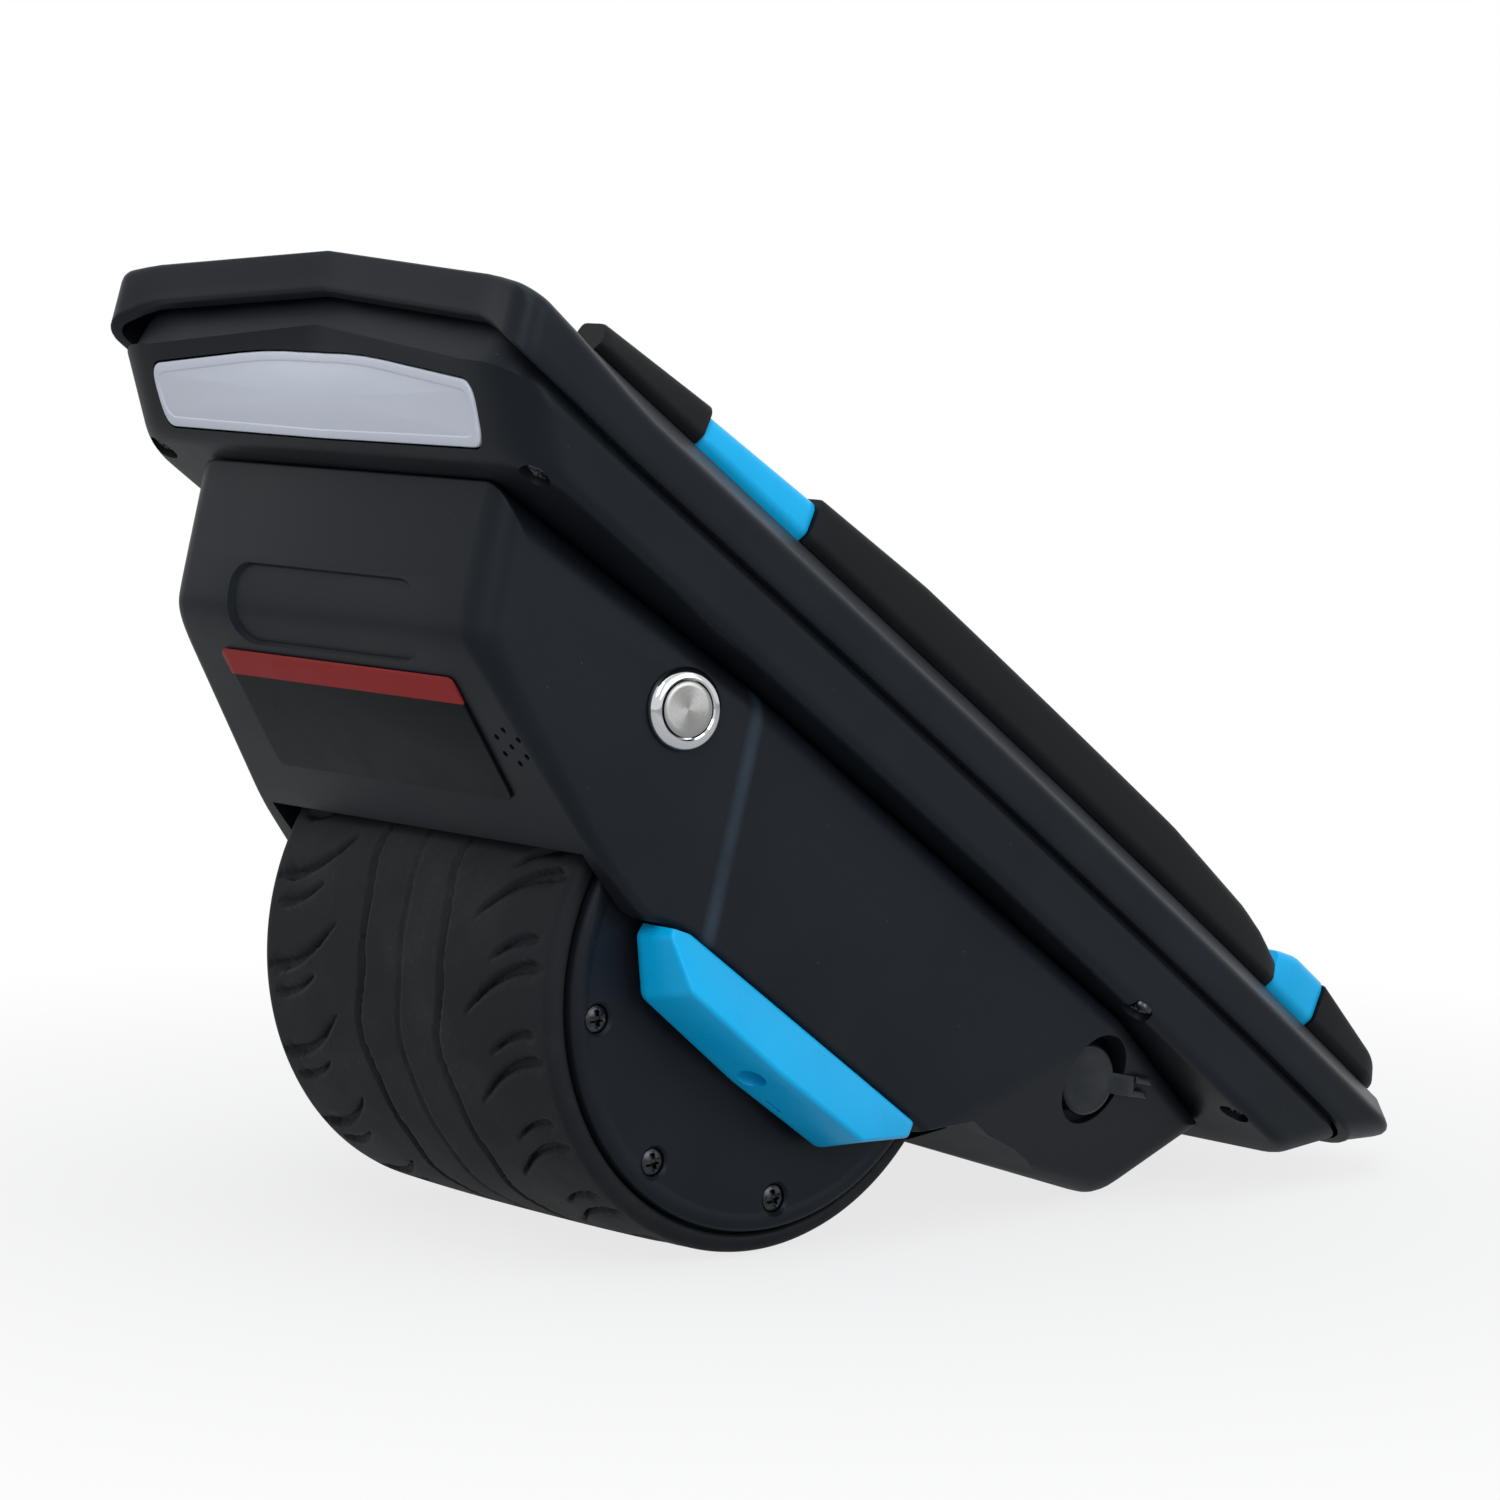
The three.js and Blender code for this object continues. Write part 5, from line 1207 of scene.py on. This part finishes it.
# name: place, size, power, colour
LAMPS = {
    "overhead softbox": ((0.1, 0.3, 1.5), (1.2, 1.0), 10.0, (0.84, 0.92, 1.0)),
    "front softbox": ((1.0, 1.0, 1.1), (0.7, 0.7), 8.0, (0.88, 0.94, 1.0)),
    "side fill": ((-0.3, 1.6, 0.6), (1.0, 0.6), 5.5, (0.95, 0.97, 1.0)),
}


def build_stage(sizes, colours):
    """The camera, a pale floor that keeps the object's shadow, an even world and three soft lamps."""
    scene = bpy.context.scene
    camera = bpy.data.objects.new("camera", bpy.data.cameras.new("camera"))
    scene.collection.objects.link(camera)
    camera.data.lens, camera.data.sensor_width, camera.data.clip_start = LENS, SENSOR, 0.01
    ahead = Vector(CAMERA_AHEAD).normalized()
    right = ahead.cross(Vector(CAMERA_UP)).normalized()
    turn = Matrix((right, right.cross(ahead), -ahead)).transposed()
    camera.matrix_world = Matrix.Translation(CAMERA_AT) @ turn.to_4x4()
    scene.camera = camera

    floor = bpy.data.objects.new("floor", bpy.data.meshes.new("floor"))
    corners = [(a * FLOOR_HALF, b * FLOOR_HALF, 0) for a, b in ((-1, -1), (1, -1), (1, 1), (-1, 1))]
    floor.data.from_pydata(corners, [], [(0, 1, 2, 3)])
    scene.collection.objects.link(floor)
    work = NodeWork(bpy.data.materials.new("pale floor"))
    work.put(work.shader, {"Base Color": (0.5, 0.5, 0.5), "Roughness": 0.9, "Specular IOR Level": 0.0})
    fade = work.ranged(work.vector("LENGTH", "Value", work.coords), 0.1, 0.4, 0.78, 1.0)
    direct = work.worked("MULTIPLY", work.add("LightPath", {}).outputs["Is Camera Ray"], fade)
    reflected = work.worked("MULTIPLY", work.seen_directly(), 0.35)
    lit, white = work.nodes["Principled BSDF"].outputs[0], work.add("Emission", {}).outputs[0]
    mix = work.add("MixShader", {0: work.worked("MAXIMUM", direct, reflected), 1: lit, 2: white})
    work.put(work.nodes["Material Output"].inputs, {"Surface": mix.outputs[0]})
    floor.data.materials.append(work.owner)

    scene.world = bpy.data.worlds.new("studio")
    work = NodeWork(scene.world, "Background")
    strength = work.ranged(work.seen_directly(), 0, 1, sizes.ambient, 1.0)
    work.put(work.shader, {"Color": (1, 1, 1), "Strength": strength})

    for name, (place, size, power, colour) in LAMPS.items():
        light = bpy.data.lights.new(name, "AREA")
        light.shape, light.energy, light.color = "RECTANGLE", power, colour
        light.size, light.size_y = size
        holder = bpy.data.objects.new(name, light)
        holder.location = place
        holder.rotation_euler = (Vector(LIT_AT) - Vector(place)).to_track_quat("-Z", "Y").to_euler()
        scene.collection.objects.link(holder)
    scene.view_settings.view_transform = "Standard"


# ---- Add-on ----
class SkateSizes(bpy.types.PropertyGroup):
    tyre_radius: FloatProperty(
        name="Tyre radius", description="Radius of the tread", default=0.06, unit="LENGTH", precision=4
    )
    groove_depth: FloatProperty(
        name="Groove depth", description="Depth of the grooves", default=0.0013, unit="LENGTH", precision=4
    )
    sipe_depth: FloatProperty(
        name="Sipe depth", description="Depth of the sipes", default=0.0017, unit="LENGTH", precision=4
    )
    guard_rounding: FloatProperty(
        name="Guard rounding", description="Rounding of edges", default=0.0016, unit="LENGTH", precision=4
    )
    rib_pitch: FloatProperty(
        name="Rib pitch", description="Spacing of the mat's ribs", default=0.0055, unit="LENGTH", precision=4
    )
    ambient: FloatProperty(
        name="Ambient light", description="Strength of the even studio light", default=0.42, min=0.0
    )


class SkateColours(bpy.types.PropertyGroup):
    shell: FloatVectorProperty(
        name="Shell", description="Moulded shells", subtype="COLOR", default=(0.0078, 0.0092, 0.0122)
    )
    rubber: FloatVectorProperty(
        name="Rubber", description="Tyre, rails and mat", subtype="COLOR", default=(0.0092, 0.0094, 0.0108)
    )
    accent: FloatVectorProperty(
        name="Accent", description="Blue inserts and guards", subtype="COLOR", default=(0.001, 0.46, 0.88)
    )
    lens: FloatVectorProperty(
        name="Lens", description="Headlight diffuser", subtype="COLOR", default=(0.77, 0.80, 0.885)
    )
    band: FloatVectorProperty(
        name="Label band", description="Band on the label plate", subtype="COLOR", default=(0.33, 0.03, 0.028)
    )


class SkateOperator:
    """Base of the operators that build one kind of piece."""

    bl_options = {"REGISTER", "UNDO"}

    def run(self, context, *builders):
        for build in builders:
            build(context.scene.skate_sizes, context.scene.skate_colours)
        return {"FINISHED"}


class SKATE_OT_stage(SkateOperator, bpy.types.Operator):
    """Make the camera, the pale floor and the studio light"""

    bl_idname = "skate.stage"
    bl_label = "Stage"

    def execute(self, context):
        return self.run(context, build_stage)


class SKATE_OT_tyre(SkateOperator, bpy.types.Operator):
    """Build the tyre with its grooves and shoulder cuts"""

    bl_idname = "skate.tyre"
    bl_label = "Tyre"

    def execute(self, context):
        return self.run(context, build_tyre)


class SKATE_OT_hub(SkateOperator, bpy.types.Operator):
    """Build the hub covers and their screws"""

    bl_idname = "skate.hub"
    bl_label = "Hub covers"

    def execute(self, context):
        return self.run(context, build_hub_covers, build_hub_screws)


class SKATE_OT_housing(SkateOperator, bpy.types.Operator):
    """Build the lower housing with its recesses and openings"""

    bl_idname = "skate.housing"
    bl_label = "Lower housing"

    def execute(self, context):
        return self.run(context, build_housing)


class SKATE_OT_tray(SkateOperator, bpy.types.Operator):
    """Build the deck tray and its flange screws"""

    bl_idname = "skate.tray"
    bl_label = "Deck tray"

    def execute(self, context):
        return self.run(context, build_tray)


class SKATE_OT_rim(SkateOperator, bpy.types.Operator):
    """Build the deck rim"""

    bl_idname = "skate.rim"
    bl_label = "Deck rim"

    def execute(self, context):
        return self.run(context, build_rim)


class SKATE_OT_rails(SkateOperator, bpy.types.Operator):
    """Build the side rails, their blue inserts and the heel stop"""

    bl_idname = "skate.rails"
    bl_label = "Rails"

    def execute(self, context):
        return self.run(context, build_rails)


class SKATE_OT_mat(SkateOperator, bpy.types.Operator):
    """Build the ribbed foot mat"""

    bl_idname = "skate.mat"
    bl_label = "Foot mat"

    def execute(self, context):
        return self.run(context, build_foot_pad)


class SKATE_OT_guards(SkateOperator, bpy.types.Operator):
    """Build the wheel guards and their screws"""

    bl_idname = "skate.guards"
    bl_label = "Wheel guards"

    def execute(self, context):
        return self.run(context, build_fairings)


class SKATE_OT_headlight(SkateOperator, bpy.types.Operator):
    """Build the headlight's diffuser"""

    bl_idname = "skate.headlight"
    bl_label = "Headlight"

    def execute(self, context):
        return self.run(context, build_headlight)


class SKATE_OT_label(SkateOperator, bpy.types.Operator):
    """Build the blank label plate"""

    bl_idname = "skate.label"
    bl_label = "Label plate"

    def execute(self, context):
        return self.run(context, build_label)


class SKATE_OT_switch(SkateOperator, bpy.types.Operator):
    """Build the power switch's bezel and cap"""

    bl_idname = "skate.switch"
    bl_label = "Power switch"

    def execute(self, context):
        return self.run(context, build_switch)


class SKATE_OT_charge_cap(SkateOperator, bpy.types.Operator):
    """Build the charging socket's cap and strap"""

    bl_idname = "skate.charge_cap"
    bl_label = "Charging cap"

    def execute(self, context):
        return self.run(context, build_charge_cap)


class SKATE_OT_inner(SkateOperator, bpy.types.Operator):
    """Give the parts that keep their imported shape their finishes"""

    bl_idname = "skate.inner"
    bl_label = "Inner parts"

    def execute(self, context):
        return self.run(context, finish_inner_parts)


STEPS = (
    SKATE_OT_stage,
    SKATE_OT_tyre,
    SKATE_OT_hub,
    SKATE_OT_housing,
    SKATE_OT_tray,
    SKATE_OT_rim,
    SKATE_OT_rails,
    SKATE_OT_mat,
    SKATE_OT_guards,
    SKATE_OT_headlight,
    SKATE_OT_label,
    SKATE_OT_switch,
    SKATE_OT_charge_cap,
    SKATE_OT_inner,
)


class SKATE_PT_panel(bpy.types.Panel):
    """Lists the skate's pieces in the order they are built"""

    bl_idname = "SKATE_PT_panel"
    bl_label = "Self-balancing skate"
    bl_space_type = "VIEW_3D"
    bl_region_type = "UI"
    bl_category = "Skate"

    def draw(self, context):
        for step in STEPS:
            self.layout.operator(step.bl_idname)
        for group in (context.scene.skate_sizes, context.scene.skate_colours):
            box_layout = self.layout.box()
            for key in group.__annotations__:
                box_layout.prop(group, key)


CLASSES = (SkateSizes, SkateColours, *STEPS, SKATE_PT_panel)


def register():
    for each in CLASSES:
        bpy.utils.register_class(each)
    bpy.types.Scene.skate_sizes = PointerProperty(type=SkateSizes)
    bpy.types.Scene.skate_colours = PointerProperty(type=SkateColours)


def unregister():
    del bpy.types.Scene.skate_colours
    del bpy.types.Scene.skate_sizes
    for each in reversed(CLASSES):
        bpy.utils.unregister_class(each)


def main():
    register()
    for step in STEPS:
        group, name = step.bl_idname.split(".")
        getattr(getattr(bpy.ops, group), name)()


if __name__ == "__main__":
    main()
